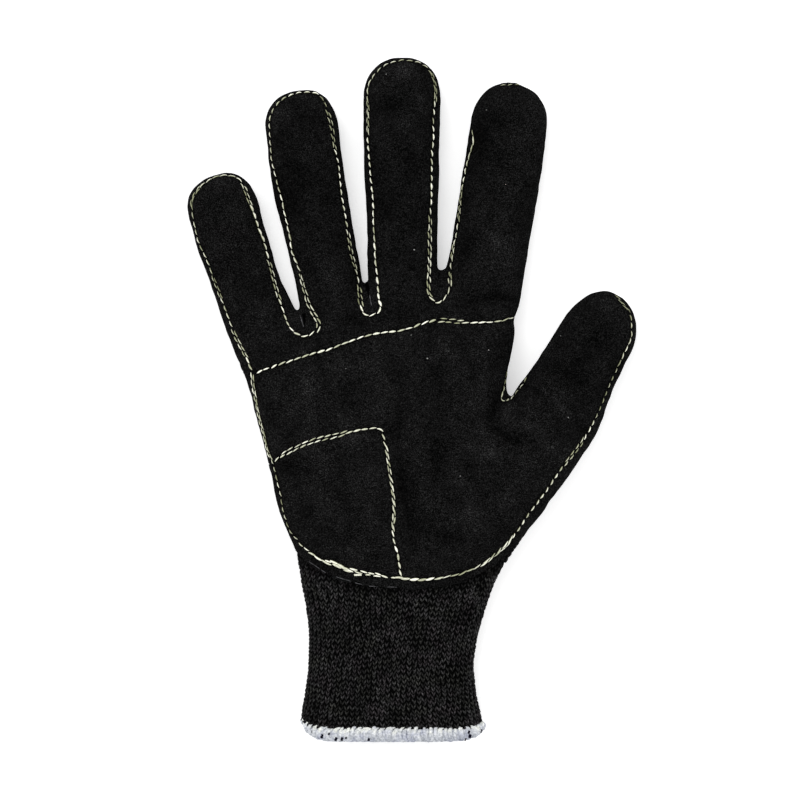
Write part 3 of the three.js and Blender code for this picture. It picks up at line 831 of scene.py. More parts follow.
def suede_relief(points, normals):
    """How far the suede's face stands above the skin that it is cut from, apart from its seams."""
    on_top = smoothstep(normals[:, 2], 0.2, 0.8)
    uneven = (SWELL_AT_SIDES + SWELL_ON_TOP * on_top) * waves(points, *SUEDE_SWELL)
    uneven = uneven + waves(points, *SUEDE_RIPPLE)
    at_wrist = 1 - smoothstep(region_distance(points, WRIST_REGION), 0, WRIST_SINK_REACH)
    return uneven - WRIST_SINK * at_wrist - WRINKLE_DEPTH * wrinkling(points, normals)


CUT_SNAP = 0.04


def clipped(points, triangles, field):
    """The part of a mesh where field is positive, cut along the line where it is zero."""
    field = np.where(np.abs(field) < CUT_SNAP, CUT_SNAP, field)
    inside = (field > 0)[triangles]
    count = inside.sum(1)
    odd = np.where(count == 1, inside.argmax(1), (~inside).argmax(1))
    turned = np.take_along_axis(triangles, (odd[:, None] + np.arange(3)) % 3, 1)
    crossed = (count == 1) | (count == 2)
    turned, single = turned[crossed], count[crossed] == 1
    pairs = np.sort(np.concatenate([turned[:, [0, 1]], turned[:, [0, 2]]]), 1)
    ends, which = np.unique(pairs, axis=0, return_inverse=True)
    share = field[ends[:, 0]] / (field[ends[:, 0]] - field[ends[:, 1]])
    fresh = points[ends[:, 0]] + share[:, None] * (points[ends[:, 1]] - points[ends[:, 0]])
    first, second = len(points) + which.reshape(2, -1)
    a, b, c = turned.T
    kept = np.concatenate(
        [
            triangles[count == 3],
            np.stack([a, first, second], 1)[single],
            np.stack([first, b, c], 1)[~single],
            np.stack([first, c, second], 1)[~single],
        ]
    )
    used, kept = np.unique(kept, return_inverse=True)
    return np.vstack([points, fresh])[used], kept.reshape(-1, 3)


def border_edges(triangles):
    """Directed edges that only one triangle has."""
    edges = np.concatenate([triangles[:, [0, 1]], triangles[:, [1, 2]], triangles[:, [2, 0]]])
    _, which, count = np.unique(np.sort(edges, 1), axis=0, return_inverse=True, return_counts=True)
    return edges[count[which.ravel()] == 1]


def thickened(top, bottom, triangles, bulge):
    """A closed wall between two layers of one mesh, with a rounded rim that stands out by bulge."""
    size = len(top)
    edges = border_edges(triangles)
    rim = np.unique(edges)
    place = np.full(size, -1)
    place[rim] = 2 * size + np.arange(len(rim))
    normal = unit(top - bottom)
    outward = np.zeros_like(top)
    across = np.cross(top[edges[:, 1]] - top[edges[:, 0]], normal[edges[:, 0]])
    for end in range(2):
        np.add.at(outward, edges[:, end], across)
    middle = (top + bottom)[rim] / 2 + bulge * unit(outward[rim])
    i, j = edges.T
    walls = [
        np.column_stack([j, i, place[i]]),
        np.column_stack([j, place[i], place[j]]),
        np.column_stack([place[j], place[i], i + size]),
        np.column_stack([place[j], i + size, j + size]),
    ]
    return np.vstack([top, bottom, middle]), np.vstack([triangles, triangles[:, ::-1] + size, *walls])


def strands(centres, across, up, half_width, half_height, sides, tip=0.3):
    """Many rounded strands as one mesh. centres holds one strand's middle line in each row."""
    count, steps = centres.shape[:2]
    angle = 2 * np.pi * np.arange(sides) / sides + np.pi / 2
    wide = half_width[..., None] * np.cos(angle)
    high = half_height[..., None] * np.sin(angle)
    rings = centres[:, :, None] + wide[..., None] * across[:, :, None] + high[..., None] * up[:, :, None]
    start = centres[:, 0] + tip * (centres[:, 0] - centres[:, 1])
    end = centres[:, -1] + tip * (centres[:, -1] - centres[:, -2])
    points = np.concatenate([rings.reshape(count, -1, 3), start[:, None], end[:, None]], axis=1)
    k = np.arange(sides)
    after = (k + 1) % sides
    faces = []
    for step in range(steps - 1):
        low, high_ring = step * sides, (step + 1) * sides
        faces.append(np.column_stack([low + k, low + after, high_ring + after]))
        faces.append(np.column_stack([low + k, high_ring + after, high_ring + k]))
    last = (steps - 1) * sides
    faces.append(np.column_stack([after, k, np.full(sides, steps * sides)]))
    faces.append(np.column_stack([last + k, last + after, np.full(sides, steps * sides + 1)]))
    one = np.vstack(faces)
    forward = np.einsum("mkc,mkc->mk", np.cross(across, up), np.gradient(centres, axis=1)).sum(1) > 0
    each = np.where(forward[:, None, None], one[None], one[None, :, ::-1])
    each = each + (np.arange(count) * points.shape[1])[:, None, None]
    return points.reshape(-1, 3), each.reshape(-1, 3)


# Materials


def new_material(name, roughness, specular):
    """A material, its nodes, its shader and the object's coordinates."""
    made = bpy.data.materials.new(name)
    made.use_nodes = True
    tree = made.node_tree
    shader = tree.nodes["Principled BSDF"]
    shader.inputs["Roughness"].default_value = roughness
    shader.inputs["Specular IOR Level"].default_value = specular
    place = tree.nodes.new("ShaderNodeTexCoord").outputs["Object"]
    return made, tree, shader, place


def noise_value(tree, place, size, detail=2.0, roughness=0.6):
    """A noise texture whose features are about size millimetres across."""
    node = tree.nodes.new("ShaderNodeTexNoise")
    node.inputs["Scale"].default_value = 1 / (size * MM)
    node.inputs["Detail"].default_value = detail
    node.inputs["Roughness"].default_value = roughness
    tree.links.new(place, node.inputs["Vector"])
    return node.outputs["Fac"]


def brushed(tree, place):
    """Coordinates that stretch a texture along the nap, which is brushed slantwise."""
    node = tree.nodes.new("ShaderNodeMapping")
    node.inputs["Rotation"].default_value = (0, 0, math.radians(NAP_DIRECTION))
    node.inputs["Scale"].default_value = (NAP_STRETCH, 1, 1)
    tree.links.new(place, node.inputs["Vector"])
    return node.outputs["Vector"]


def ramp(tree, value, stops):
    """A colour ramp. Each stop is a position and a grey or an RGB colour."""
    node = tree.nodes.new("ShaderNodeValToRGB")
    elements = node.color_ramp.elements
    while len(elements) < len(stops):
        elements.new(0.5)
    for element, (position, colour) in zip(elements, stops):
        element.position = position
        element.color = (*colour, 1) if isinstance(colour, tuple) else (colour, colour, colour, 1)
    tree.links.new(value, node.inputs["Fac"])
    return node.outputs["Color"]


def product(tree, total, *colours):
    """Colours multiplied by each other."""
    for colour in colours:
        node = tree.nodes.new("ShaderNodeMix")
        node.data_type = "RGBA"
        node.blend_type = "MULTIPLY"
        node.inputs[0].default_value = 1.0
        tree.links.new(total, node.inputs[6])
        tree.links.new(colour, node.inputs[7])
        total = node.outputs[2]
    return total


def bump(tree, shader, height, depth, strength=1.0, below=None):
    node = tree.nodes.new("ShaderNodeBump")
    node.inputs["Strength"].default_value = strength
    node.inputs["Distance"].default_value = depth * MM
    tree.links.new(height, node.inputs["Height"])
    if below is not None:
        tree.links.new(below, node.inputs["Normal"])
    tree.links.new(node.outputs["Normal"], shader.inputs["Normal"])
    return node.outputs["Normal"]


def attribute(tree, name):
    node = tree.nodes.new("ShaderNodeAttribute")
    node.attribute_name = name
    return node.outputs["Fac"]


def suede_material():
    made, tree, shader, place = new_material("black_suede", 0.95, 0.0)
    nap = ramp(tree, noise_value(tree, place, 0.4, 2, 0.75), [(0.33, 0.0003), (0.5, 0.0033), (0.69, 0.026)])
    clumps = ramp(tree, noise_value(tree, place, 2.0, 3, 0.65), [(0.3, 0.76), (0.5, 0.98), (0.7, 1.26)])
    mottle = ramp(tree, noise_value(tree, place, 8, 2), [(0.3, 0.86), (0.7, 1.16)])
    streaks = ramp(tree, noise_value(tree, brushed(tree, place), 0.5, 1), [(0.35, 0.82), (0.65, 1.2)])
    colour = product(tree, nap, clumps, mottle, streaks, attribute(tree, "tone"))
    tree.links.new(colour, shader.inputs["Base Color"])
    coarse = bump(tree, shader, noise_value(tree, place, 1.6, 3), 0.14, 0.6)
    bump(tree, shader, noise_value(tree, place, 0.5, 2), 0.08, 0.7, coarse)
    return made


def raw_edge_material():
    made, tree, shader, place = new_material("suede_cut_edge", 0.95, 0.0)
    colour = ramp(tree, noise_value(tree, place, 0.7), [(0.35, 0.005), (0.65, (0.02, 0.02, 0.021))])
    tree.links.new(colour, shader.inputs["Base Color"])
    bump(tree, shader, noise_value(tree, place, 0.5), 0.1, 0.6)
    return made


def fibre_material():
    made, tree, shader, place = new_material("pale_fibres", 0.8, 0.1)
    colour = ramp(tree, noise_value(tree, place, 0.8), [(0.35, 0.035), (0.65, (0.15, 0.15, 0.16))])
    tree.links.new(colour, shader.inputs["Base Color"])
    return made


def plain_material(name, roughness, specular, colour):
    """A material of one colour."""
    made, _, shader, _ = new_material(name, roughness, specular)
    shader.inputs["Base Color"].default_value = (*colour, 1)
    return made


def knit_material():
    made, tree, shader, place = new_material("black_knit", 0.9, 0.02)
    marl_stops = [
        (0.32, (0.012, 0.0118, 0.012)),
        (0.5, (0.035, 0.0346, 0.035)),
        (0.68, (0.074, 0.073, 0.074)),
    ]
    marl = ramp(tree, noise_value(tree, place, 0.45, 2, 0.6), marl_stops)
    tint_stops = [(0.35, (0.95, 0.96, 0.88)), (0.5, (1.0, 1.0, 1.0)), (0.65, (1.08, 0.98, 1.03))]
    tint = ramp(tree, noise_value(tree, place, 6, 1), tint_stops)
    tree.links.new(product(tree, marl, tint, attribute(tree, "tone")), shader.inputs["Base Color"])
    bump(tree, shader, noise_value(tree, place, 0.3, 2), 0.08, 0.6)
    return made


def thread_material():
    made, tree, shader, place = new_material("yellow_green_thread", 0.55, 0.3)
    fibre_stops = [(0.32, (0.6, 0.605, 0.5)), (0.5, (0.87, 0.872, 0.77)), (0.68, (1.0, 0.995, 0.93))]
    fibre = ramp(tree, noise_value(tree, place, 0.5, 2), fibre_stops)
    # The tone attribute is painted shading: dark at the thread's sides, a painted highlight above 1 on its
    # crest.
    side_shade_stops = [(0, (0.075, 0.083, 0.02)), (0.4, (0.42, 0.435, 0.3))]
    crest_highlight_stops = [(0.75, (1.02, 1.02, 0.95)), (1, (1.3, 1.29, 1.26))]
    tone = ramp(tree, attribute(tree, "tone"), side_shade_stops + crest_highlight_stops)
    tree.links.new(product(tree, fibre, tone), shader.inputs["Base Color"])
    bump(tree, shader, noise_value(tree, place, 0.4, 1), 0.06, 0.5)
    return made


def hem_material():
    made, tree, shader, place = new_material("white_overlock_yarn", 0.8, 0.1)
    fibre_stops = [(0.3, (0.42, 0.435, 0.45)), (0.7, (0.88, 0.89, 0.9))]
    fibre = ramp(tree, noise_value(tree, place, 0.8, 2), fibre_stops)
    cloud_stops = [(0.36, (0.8, 0.81, 0.88)), (0.55, (1.0, 1.0, 1.0))]
    cloud = ramp(tree, noise_value(tree, place, 3.2, 1), cloud_stops)
    # Low tones are a blue-grey painted shade.
    tone_stops = [(0, (0.6, 0.62, 0.68)), (0.6, (0.97, 0.98, 1.0)), (1, (1.18, 1.18, 1.08))]
    tone = ramp(tree, attribute(tree, "tone"), tone_stops)
    tree.links.new(product(tree, fibre, cloud, tone), shader.inputs["Base Color"])
    bump(tree, shader, noise_value(tree, place, 0.45, 2), 0.12, 0.6)
    return made


def make_piece(name, points, faces, material, slot, tone=None):
    """A piece of the glove that rides with it. tone says how pale each of its points is."""
    data = mesh_data(name, points, faces)
    data.polygons.foreach_set("use_smooth", np.ones(len(faces), bool))
    if tone is not None:
        data.attributes.new("tone", "FLOAT", "POINT").data.foreach_set("value", tone.astype(np.float32))
    data.materials.append(material)
    piece = new_object(name, data)
    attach(piece, "root")
    return piece


# Stitching


def laid_on(tree, line, width=7):
    """A line as the camera sees it, laid on a surface: its points and the surface's normals."""
    eye = Vector((CAMERA_X, CAMERA_Y, CAMERA_HEIGHT))
    points = []
    for x, y in line:
        aim = Vector((x, y, SIGHT_HEIGHT))
        hit = tree.ray_cast(eye.lerp(aim, 0.97), (aim - eye).normalized())[0]
        points.append(hit if hit and hit.z > 4 else tree.find_nearest(aim)[0])
    points = np.array(points)
    padded = np.vstack([points[:1]] * (width // 2) + [points] + [points[-1:]] * (width // 2))
    mean = np.stack([np.convolve(padded[:, k], np.ones(width) / width, "valid") for k in range(3)], axis=1)
    found = [tree.find_nearest(Vector(p)) for p in mean]
    return np.array([f[0] for f in found]), np.array([f[1] for f in found])


def stitch_pitch(length):
    """The pitch nearest to STITCH_PITCH at which whole stitches fill a path."""
    return length[-1] / max(int(round(length[-1] / STITCH_PITCH)), 1)


def leaf(t):
    """A stitch's outline along its length: a blunt leaf."""
    return np.sin(np.pi * np.clip(t, 0.04, 0.96)) ** 0.55


def stitches(path, normal, styles, rng):
    """Leaf-shaped stitches along a path on the suede, in the style of each stretch."""
    length = path_length(path)
    pitch = stitch_pitch(length)
    number = np.arange(int(round(length[-1] / pitch)))
    table = np.array(styles, float)
    style = table[np.searchsorted(table[:, 0], (number + 0.5) * pitch, side="right") - 1]
    number, style = number[style[:, 1] > 0], style[style[:, 1] > 0]
    _, half_width, gap, apart = style.T
    place = number * pitch
    apart = apart * smoothstep(np.minimum(place, length[-1] - place), 0, TWIN_FADE)
    twin = apart > 0
    start = np.concatenate([place, place[twin] + TWIN_PHASE * pitch])
    offset = np.concatenate([-apart / 2, apart[twin] / 2])
    half_width = np.concatenate([half_width, half_width[twin]])
    gap = np.concatenate([gap, gap[twin]])
    count = len(start)
    start = start + rng.uniform(-START_SHIFT, START_SHIFT, count)
    tight = gap < TIGHT_GAP
    overlap = np.where(tight, TIGHT_OVERLAP, 0)
    span = pitch - gap + overlap + rng.uniform(*SPAN_CHANGE, count)
    t = np.linspace(0, 1, THREAD_STEPS)
    at = np.clip(start[:, None] + (gap - overlap)[:, None] / 2 + span[:, None] * t, 0, length[-1])
    centre = np.stack([np.interp(at, length, path[:, k]) for k in range(3)], axis=-1)
    up = unit(np.stack([np.interp(at, length, normal[:, k]) for k in range(3)], axis=-1))
    ahead = unit(np.gradient(centre, axis=1))
    across = unit(np.cross(ahead, up))
    profile = leaf(t)
    slant = THREAD_SLANT * np.where(tight, TIGHT_SLANT, 1) * rng.normal(1, 0.5, count)
    slant = slant[:, None] * (1 - 2 * t)
    sideways = slant - offset[:, None] + rng.normal(0, SIDE_SHIFT, count)[:, None]
    rise = THREAD_RISE * profile - THREAD_SINK + rng.uniform(-RISE_SHIFT, RISE_SHIFT, count)[:, None]
    rise = rise + suede_relief(centre.reshape(-1, 3), up.reshape(-1, 3)).reshape(rise.shape)
    centre = centre + up * rise[..., None] + across * sideways[..., None]
    wide = half_width[:, None] * profile * rng.uniform(*WIDTH_RANGE, count)[:, None]
    high = THREAD_FLATNESS * half_width[:, None] * profile * rng.uniform(*HEIGHT_RANGE, count)[:, None]
    made = strands(centre, across, up, wide, high, THREAD_SIDES, THREAD_TIP)
    pale = rng.uniform(*TONE_RANGE, count) * (0.5 + 0.5 * smoothstep(half_width, *THIN_THREAD))
    return made, thread_shade_tones(pale)


def thread_shade_tones(pale):
    """Tones of the points of strands: a painted highlight along the crests, painted shade at the sides and
    ends.
    """
    one = np.concatenate([np.tile(THREAD_SHADE_TONES, THREAD_STEPS), [THREAD_END_SHADE] * 2])
    return (pale[:, None] * one).ravel()


def dashes(tree, rng):
    """The stitches of WRIST_DASHES, each laid on the suede between its two ends."""
    t = np.linspace(0, 1, THREAD_STEPS)
    profile = leaf(t)
    made = []
    for start, end, half_width in WRIST_DASHES:
        line = np.array(start) + t[:, None] * (np.array(end) - start)
        points, normals = laid_on(tree, line, 3)
        across = unit(np.cross(unit(np.gradient(points, axis=0)), normals))
        bend = rng.normal(0, DASH_BEND) * np.sin(np.pi * t)
        rise = DASH_RISE * profile - DASH_SINK + rng.uniform(0, DASH_LIFT) + suede_relief(points, normals)
        points = points + rise[:, None] * normals + bend[:, None] * across
        wide = half_width * profile[None]
        high = THREAD_FLATNESS * wide
        made.append(strands(points[None], across[None], normals[None], wide, high, THREAD_SIDES, THREAD_TIP))
    return joined(made), thread_shade_tones(rng.uniform(*DASH_TONE_RANGE, len(made)))


def strand_on(tree, line, half_width, half_height, lift=0.0, sides=6, step=PATH_STEP, on_suede=True):
    """One strand laid along a line on a surface. half_width is one value or one for each end."""
    points, normals = laid_on(tree, smooth_line(line, step), 3)
    rise = lift + (suede_relief(points, normals) if on_suede else np.zeros(len(points)))
    points = points + rise[:, None] * normals
    across = unit(np.cross(unit(np.gradient(points, axis=0)), normals))
    wide = np.linspace(*np.broadcast_to(half_width, 2), len(points))
    high = np.full(len(points), half_height)
    return strands(points[None], across[None], normals[None], wide[None], high[None], sides, 0.2)


def short_line(x, y, reach_x, reach_y):
    """A straight line through a place, for a strand."""
    return [(x - reach_x, y - reach_y), (x, y), (x + reach_x, y + reach_y)]


# Knit: where a tube is narrower than this share of its full width, it has fewer wales.
NARROW_SHARE = 0.75
LEAST_WALES = 4


def knit_tube(rings, wales, pitch, nominal):
    """Places, sideways and lengthways vectors of the loops on a tube. rings run along the tube."""
    step = np.linalg.norm(np.diff(rings, axis=0), axis=2).mean(1)
    length = np.concatenate([[0], np.cumsum(step)])
    courses = int(length[-1] / pitch)
    at = (np.arange(2 * courses + 1) / 2) * pitch
    flat = rings.reshape(len(rings), -1)
    even = np.stack([np.interp(at, length, flat[:, k]) for k in range(flat.shape[1])], axis=1)
    even = even.reshape(len(at), -1, 3)
    places, sideways, lengthways = [], [], []
    for course in range(courses):
        low, ring, high = even[2 * course], even[2 * course + 1], even[2 * course + 2]
        around = path_length(np.vstack([ring, ring[:1]]))
        narrow = around[-1] <= NARROW_SHARE * wales * nominal
        count = max(int(around[-1] / nominal), LEAST_WALES) if narrow else wales
        share = np.concatenate([[0], around[1:] / around[-1]])
        wanted = (np.arange(count) + 0.5) / count

        def spot(line, shift=0.0):
            whole = np.vstack([line, line[:1]])
            where = (wanted + shift) % 1
            return np.stack([np.interp(where, share, whole[:, k]) for k in range(3)], axis=1)

        places.append(spot(ring))
        sideways.append((spot(ring, 0.25 / count) - spot(ring, -0.25 / count)) * 2)
        lengthways.append(spot(high) - spot(low))
    return np.vstack(places), np.vstack(sideways), np.vstack(lengthways)


LOOP_SIDES = 5
LOOP_TIP = 0.4

# A loop's two legs, as shares of the loop's width and length, with their spreads of chance
LEG_SPREAD = 0.22
LEG_REACH_RANGE = (0.16, 0.25)
LEG_LEAN = 0.12
LEG_HALF_LENGTH = 0.47
LEG_SLIP = 0.17
LEG_HALF_WIDTH = 0.185
LEG_HALF_HEIGHT = 0.26
LEG_SIZE_RANGE = (0.88, 1.14)

# Along a leg: its fullness, its height above the skin in millimetres, and its greatest half-height
LEG_FULLNESS = (0.8, 1.0, 0.75)
LEG_HEIGHTS = (0.14, 0.1, -0.16)
LEG_HEIGHT_SHIFT = 0.09
LEG_MOST_HALF_HEIGHT = 0.42

# Tones: round a leg (a painted highlight on the crest, painted shade on the flanks), along it and at its two
# ends (painted shade towards the ends), and how much loops and legs differ
CREST_SHADE_TONES = (1.0, 0.3, 0.02, 0.02, 0.3)
LEG_SHADE_TONES = (0.4, 1.0, 0.25)
LEG_END_SHADE_TONES = (0.3, 0.25)
LOOP_TONE_SPREAD = 0.17
LOOP_TONE_LIMITS = (0.4, 1.6)
LEG_TONE_SPREAD = 0.31
LEG_TONE_LIMITS = (0.25, 2.1)
PATCHY_TONE = 1.15
# Painted shadow of the suede's edge on the loops just below it: their tone there.
SHADE_BELOW_SUEDE = 0.35
RIPPLE_STRETCH = (1, 0.15, 1)


def loops(places, sideways, lengthways, normals, rng):
    """V-shaped knitted loops, two strands each, with a painted highlight along their crests and painted
    shade on their flanks and ends.
    """
    count = len(places)
    t = np.array([-1.0, 0.0, 1.0])
    one = np.concatenate([np.outer(LEG_SHADE_TONES, CREST_SHADE_TONES).ravel(), LEG_END_SHADE_TONES])
    legs = []
    tones = []
    shade = np.clip(rng.normal(1, LOOP_TONE_SPREAD, count), *LOOP_TONE_LIMITS)
    shade = shade * PATCHY_TONE ** waves(places, *LOOP_TONE_WAVES)
    # Painted shadow: loops just below the suede's edge are darkened, except those on the flanks.
    unshaded_by_suede = np.maximum(smoothstep(-suede_cover(places), 0.5, 4), 1 - smoothstep(normals[:, 2], 0.1, 0.5))
    shade *= SHADE_BELOW_SUEDE + (1 - SHADE_BELOW_SUEDE) * unshaded_by_suede
    drift = waves(places, *LOOP_DRIFT)[:, None]
    slump = (waves(places, *LOOP_SLUMP) + waves(places * RIPPLE_STRETCH, *LOOP_RIPPLE))[:, None]
    for hand in (-1, 1):
        lean = rng.uniform(-LEG_LEAN, LEG_LEAN, (count, 1)) + drift
        reach = rng.uniform(*LEG_REACH_RANGE, (count, 1))
        a = hand * (LEG_SPREAD + reach * t) + lean
        b = LEG_HALF_LENGTH * t + rng.uniform(-LEG_SLIP, LEG_SLIP, (count, 1)) + slump
        h = np.array(LEG_HEIGHTS) + rng.uniform(-LEG_HEIGHT_SHIFT, LEG_HEIGHT_SHIFT, (count, 1))
        centre = (
            places[:, None]
            + a[..., None] * sideways[:, None]
            + b[..., None] * lengthways[:, None]
            + h[..., None] * normals[:, None]
        )
        up = np.repeat(normals[:, None], 3, axis=1)
        across = unit(np.cross(np.gradient(centre, axis=1), up))
        size = np.linalg.norm(sideways, axis=1)[:, None]
        full = np.array(LEG_FULLNESS) * rng.uniform(*LEG_SIZE_RANGE, (count, 1))
        wide = LEG_HALF_WIDTH * size * full
        high = np.minimum(LEG_MOST_HALF_HEIGHT, LEG_HALF_HEIGHT * size) * full
        legs.append(strands(centre, across, up, wide, high, LOOP_SIDES, LOOP_TIP))
        leg = shade * np.clip(rng.normal(1, LEG_TONE_SPREAD, count), *LEG_TONE_LIMITS)
        tones.append((leg[:, None] * one).ravel())
    points, faces = joined(legs)
    points[:, 2] = np.maximum(points[:, 2], 0)
    return points, faces, np.concatenate(tones)


# The knit's skin, by its distance from the sections. It is built past the mouth and cut off inside the hem.
KNIT_OFFSET = -0.42
KNIT_VOXEL = 1.5
KNIT_PASSES = 4
KNIT_RIM = 0.2
# The shell's outer face is painted almost black: painted shade in the gaps between the loops.
SHELL_SHADE_TONE = 0.02
BEYOND_MOUTH = 12
UNDER_HEM = 2.2
CUFF_LIMIT = -100
CLEAR_OF_CUT = 10

# Loops: the tubes that they are laid out on, columns and rows of the knit, and which of them show
TUBE_STEP = 1.0
TUBE_SIDES = 240
DIGIT_TUBE_SIDES = 160
TRUNK_WALES = 76
WALE = 2.15
DIGIT_WALES = 28
DIGIT_WALE = 2.3
COURSE = 1.75
FIRST_COURSE = 2.5
OVERLAP = 0.9
COVERED = 1.2
FLANK_SLOPE = 0.4
WRIST_FLANK_REACH = 2.0


def shown_loops(tube, skin_tree, rng):
    """The loops of a tube that the suede and the other tubes leave free, set down on the hand's skin."""
    places, sideways, lengthways = tube
    found = [skin_tree.find_nearest(Vector(p)) for p in places]
    nearest = np.array([f[0] for f in found])
    normals = unit(np.array([f[1] for f in found]))
    depth = np.einsum("nc,nc->n", places - nearest, normals)
    at_flank = (normals[:, 2] < FLANK_SLOPE) & (region_distance(nearest, WRIST_REGION) < WRIST_FLANK_REACH)
    kept = (depth > -OVERLAP) & ((suede_cover(nearest) < COVERED) | at_flank)
    return loops(nearest[kept], sideways[kept], lengthways[kept], normals[kept], rng)


# Camera, floor and lights


def make_camera():
    data = bpy.data.cameras.new("camera")
    data.lens = LENS
    data.sensor_width = SENSOR
    data.clip_end = 20
    camera = new_object("camera", data)
    camera.location = Vector((CAMERA_X, CAMERA_Y, CAMERA_HEIGHT)) * MM
    bpy.context.scene.camera = camera


FLOOR_HALF_WIDTH = 3000
FLOOR_GLOW = 0.45


def make_stage():
    """A pale floor that glows a little, as the photograph's ground does."""
    corners = np.array([[-1, -1, 0], [1, -1, 0], [1, 1, 0], [-1, 1, 0]]) * FLOOR_HALF_WIDTH
    data = mesh_data("floor", corners, np.array([[0, 1, 2, 3]]))
    made, _, shader, _ = new_material("pale_floor", 0.9, 0.0)
    shader.inputs["Base Color"].default_value = (0.9, 0.9, 0.9, 1)
    shader.inputs["Emission Color"].default_value = (1, 1, 1, 1)
    shader.inputs["Emission Strength"].default_value = FLOOR_GLOW
    data.materials.append(made)
    floor = new_object("floor", data)


# Lamps: name, place in metres and watts
LIGHTS = (("key", (-0.5, 0.7, 1.2), 9.0), ("fill", (0.8, -0.3, 1.1), 3.0))
LIGHT_SIZE = 0.9
WORLD_STRENGTH = 0.75


def make_lights():
    world = bpy.data.worlds.new("studio")
    world.use_nodes = True
    world.node_tree.nodes["Background"].inputs["Color"].default_value = (1, 1, 1, 1)
    world.node_tree.nodes["Background"].inputs["Strength"].default_value = WORLD_STRENGTH
    bpy.context.scene.world = world
    for name, place, watts in LIGHTS:
        data = bpy.data.lights.new(name, "AREA")
        data.size = LIGHT_SIZE
        data.energy = watts
        light = new_object(name, data)
        light.location = place
        light.rotation_euler = (-Vector(place)).to_track_quat("-Z", "Y").to_euler()
    bpy.context.scene.view_settings.view_transform = "Standard"


# Suede


def seam_regions(paths):
    """The outlines in plan of the fingers' and the heel's panels, along their seams as laid on the suede."""
    palm = paths["palm_seam"][0][::5, :2].tolist()
    heel = paths["heel_seam"][0][::5, :2].tolist()
    fingers = [PALM_SEAM_ENDS[0], *palm, PALM_SEAM_ENDS[1], (60, FAR), (-FAR, FAR)]
    return fingers, [HEEL_SEAM_ENDS[0], *heel, HEEL_SEAM_ENDS[1], (-FAR, -FAR)]


def suede_tone(points, normals):
    """How pale the suede is: patches, slow unevenness, painted light that makes the flanks paler, painted
    shade in the wrinkles, and darker digits.
    """
    x, y = points[:, 0], points[:, 1]
    change = waves(points, *SUEDE_TONE_WAVES)
    # Patches: the suede's own mottling together with painted light and painted shade of its swellings and
    # folds.
    for middle_x, middle_y, half_length, half_width, turn, amount in MOTTLE_LIGHT_AND_SHADE_PATCHES:
        cosine, sine = math.cos(math.radians(turn)), math.sin(math.radians(turn))
        lengthways = ((x - middle_x) * cosine + (y - middle_y) * sine) / half_length
        sideways = ((y - middle_y) * cosine - (x - middle_x) * sine) / half_width
        change += amount * np.exp(-(lengthways**2) - sideways**2)
    # Painted light: flanks turned away from the lamps are made paler.
    flank_light = 1.18 - 0.18 * smoothstep(normals[:, 2], 0.3, 0.8)
    # Painted shade in the wrinkles.
    crease_shade = 1 - WRINKLE_SHADE * np.minimum(wrinkling(points, normals), 1.3)
    return crease_shade * flank_light * PATCH_STRENGTH**change * (1 - DIGIT_DARKENING * smoothstep(y, 30, 50))


def make_suede(skin, paths):
    """The three panels, each a thin wall cut from the skin over the palm side."""
    points, triangles = skin
    points, triangles = clipped(points, triangles, suede_cover(points))
    tree = KDTree(sum(len(path) for path, _ in paths.values()))
    phases = []
    for path, _ in paths.values():
        length = path_length(path)
        for p, s in zip(path, length / stitch_pitch(length)):
            tree.insert(p, len(phases))
            phases.append(s)
    tree.balance()
    phases = np.array(phases)
    suede = suede_material()
    edge = raw_edge_material()
    fingers, heel = seam_regions(paths)
    panels = {
        "fingers": lambda p: region_distance(p, fingers),
        "palm": lambda p: np.minimum(-region_distance(p, fingers), -region_distance(p, heel)),
        "heel": lambda p: region_distance(p, heel),
    }
    for name, field in panels.items():
        part, faces = clipped(points, triangles, field(points) - PANEL_GAP)
        normal = point_normals(part, faces)
        found = [tree.find(p) for p in part]
        distance = np.array([f[2] for f in found])
        phase = phases[[f[1] for f in found]]
        hole = 0.5 + 0.5 * np.cos(2 * np.pi * phase)
        groove = GROOVE_DEPTH * np.exp(-((distance / GROOVE_HALF_WIDTH) ** 2)) * (0.6 + 0.4 * hole)
        beside = np.exp(-(((distance - PUCKER_DISTANCE) / PUCKER_HALF_WIDTH) ** 2))
        relief = suede_relief(part, normal) - groove - PUCKER_HEIGHT * (hole - 0.5) * beside
        relief[np.unique(border_edges(faces))] -= BORDER_SINK
        top = part + normal * relief[:, None]
        bottom = part - normal * SUEDE_THICKNESS
        tone = suede_tone(part, normal)
        # Painted shade in the groove along each row of stitches.
        tone = tone * (1 - SEAM_GROOVE_SHADE * np.exp(-((distance / SEAM_SHADE_REACH) ** 2)))
        whole, walls = thickened(top, bottom, faces, SUEDE_RIM)
        tones = np.concatenate([tone, tone, np.ones(len(whole) - 2 * len(part))])
        piece = make_piece("suede_" + name, whole, walls, suede, "suede", tones)
        piece.data.materials.append(edge)
        index = np.zeros(len(walls), np.int32)
        index[2 * len(faces) :] = 1
        piece.data.polygons.foreach_set("material_index", index)
        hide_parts("leather_" + name)


def make_thread(paths, tree):
    """Every row of stitches, the stitches sewn over at the wrist, and a loose end."""
    rng = np.random.default_rng(SEED + 5)
    material = thread_material()
    for name, (path, normal) in paths.items():
        made, tone = stitches(path, normal, STITCH_ROWS[name]["styles"], rng)
        make_piece("thread_" + name, *made, material, "thread", tone)
    made, tone = dashes(tree, rng)
    make_piece("thread_wrist", *made, material, "thread", tone)
    loose = strand_on(tree, LOOSE_THREAD, (0.4, 0.3), 0.3, 0.2)
    make_piece("thread_loose_end", *loose, material, "thread", np.full(len(loose[0]), 0.8))


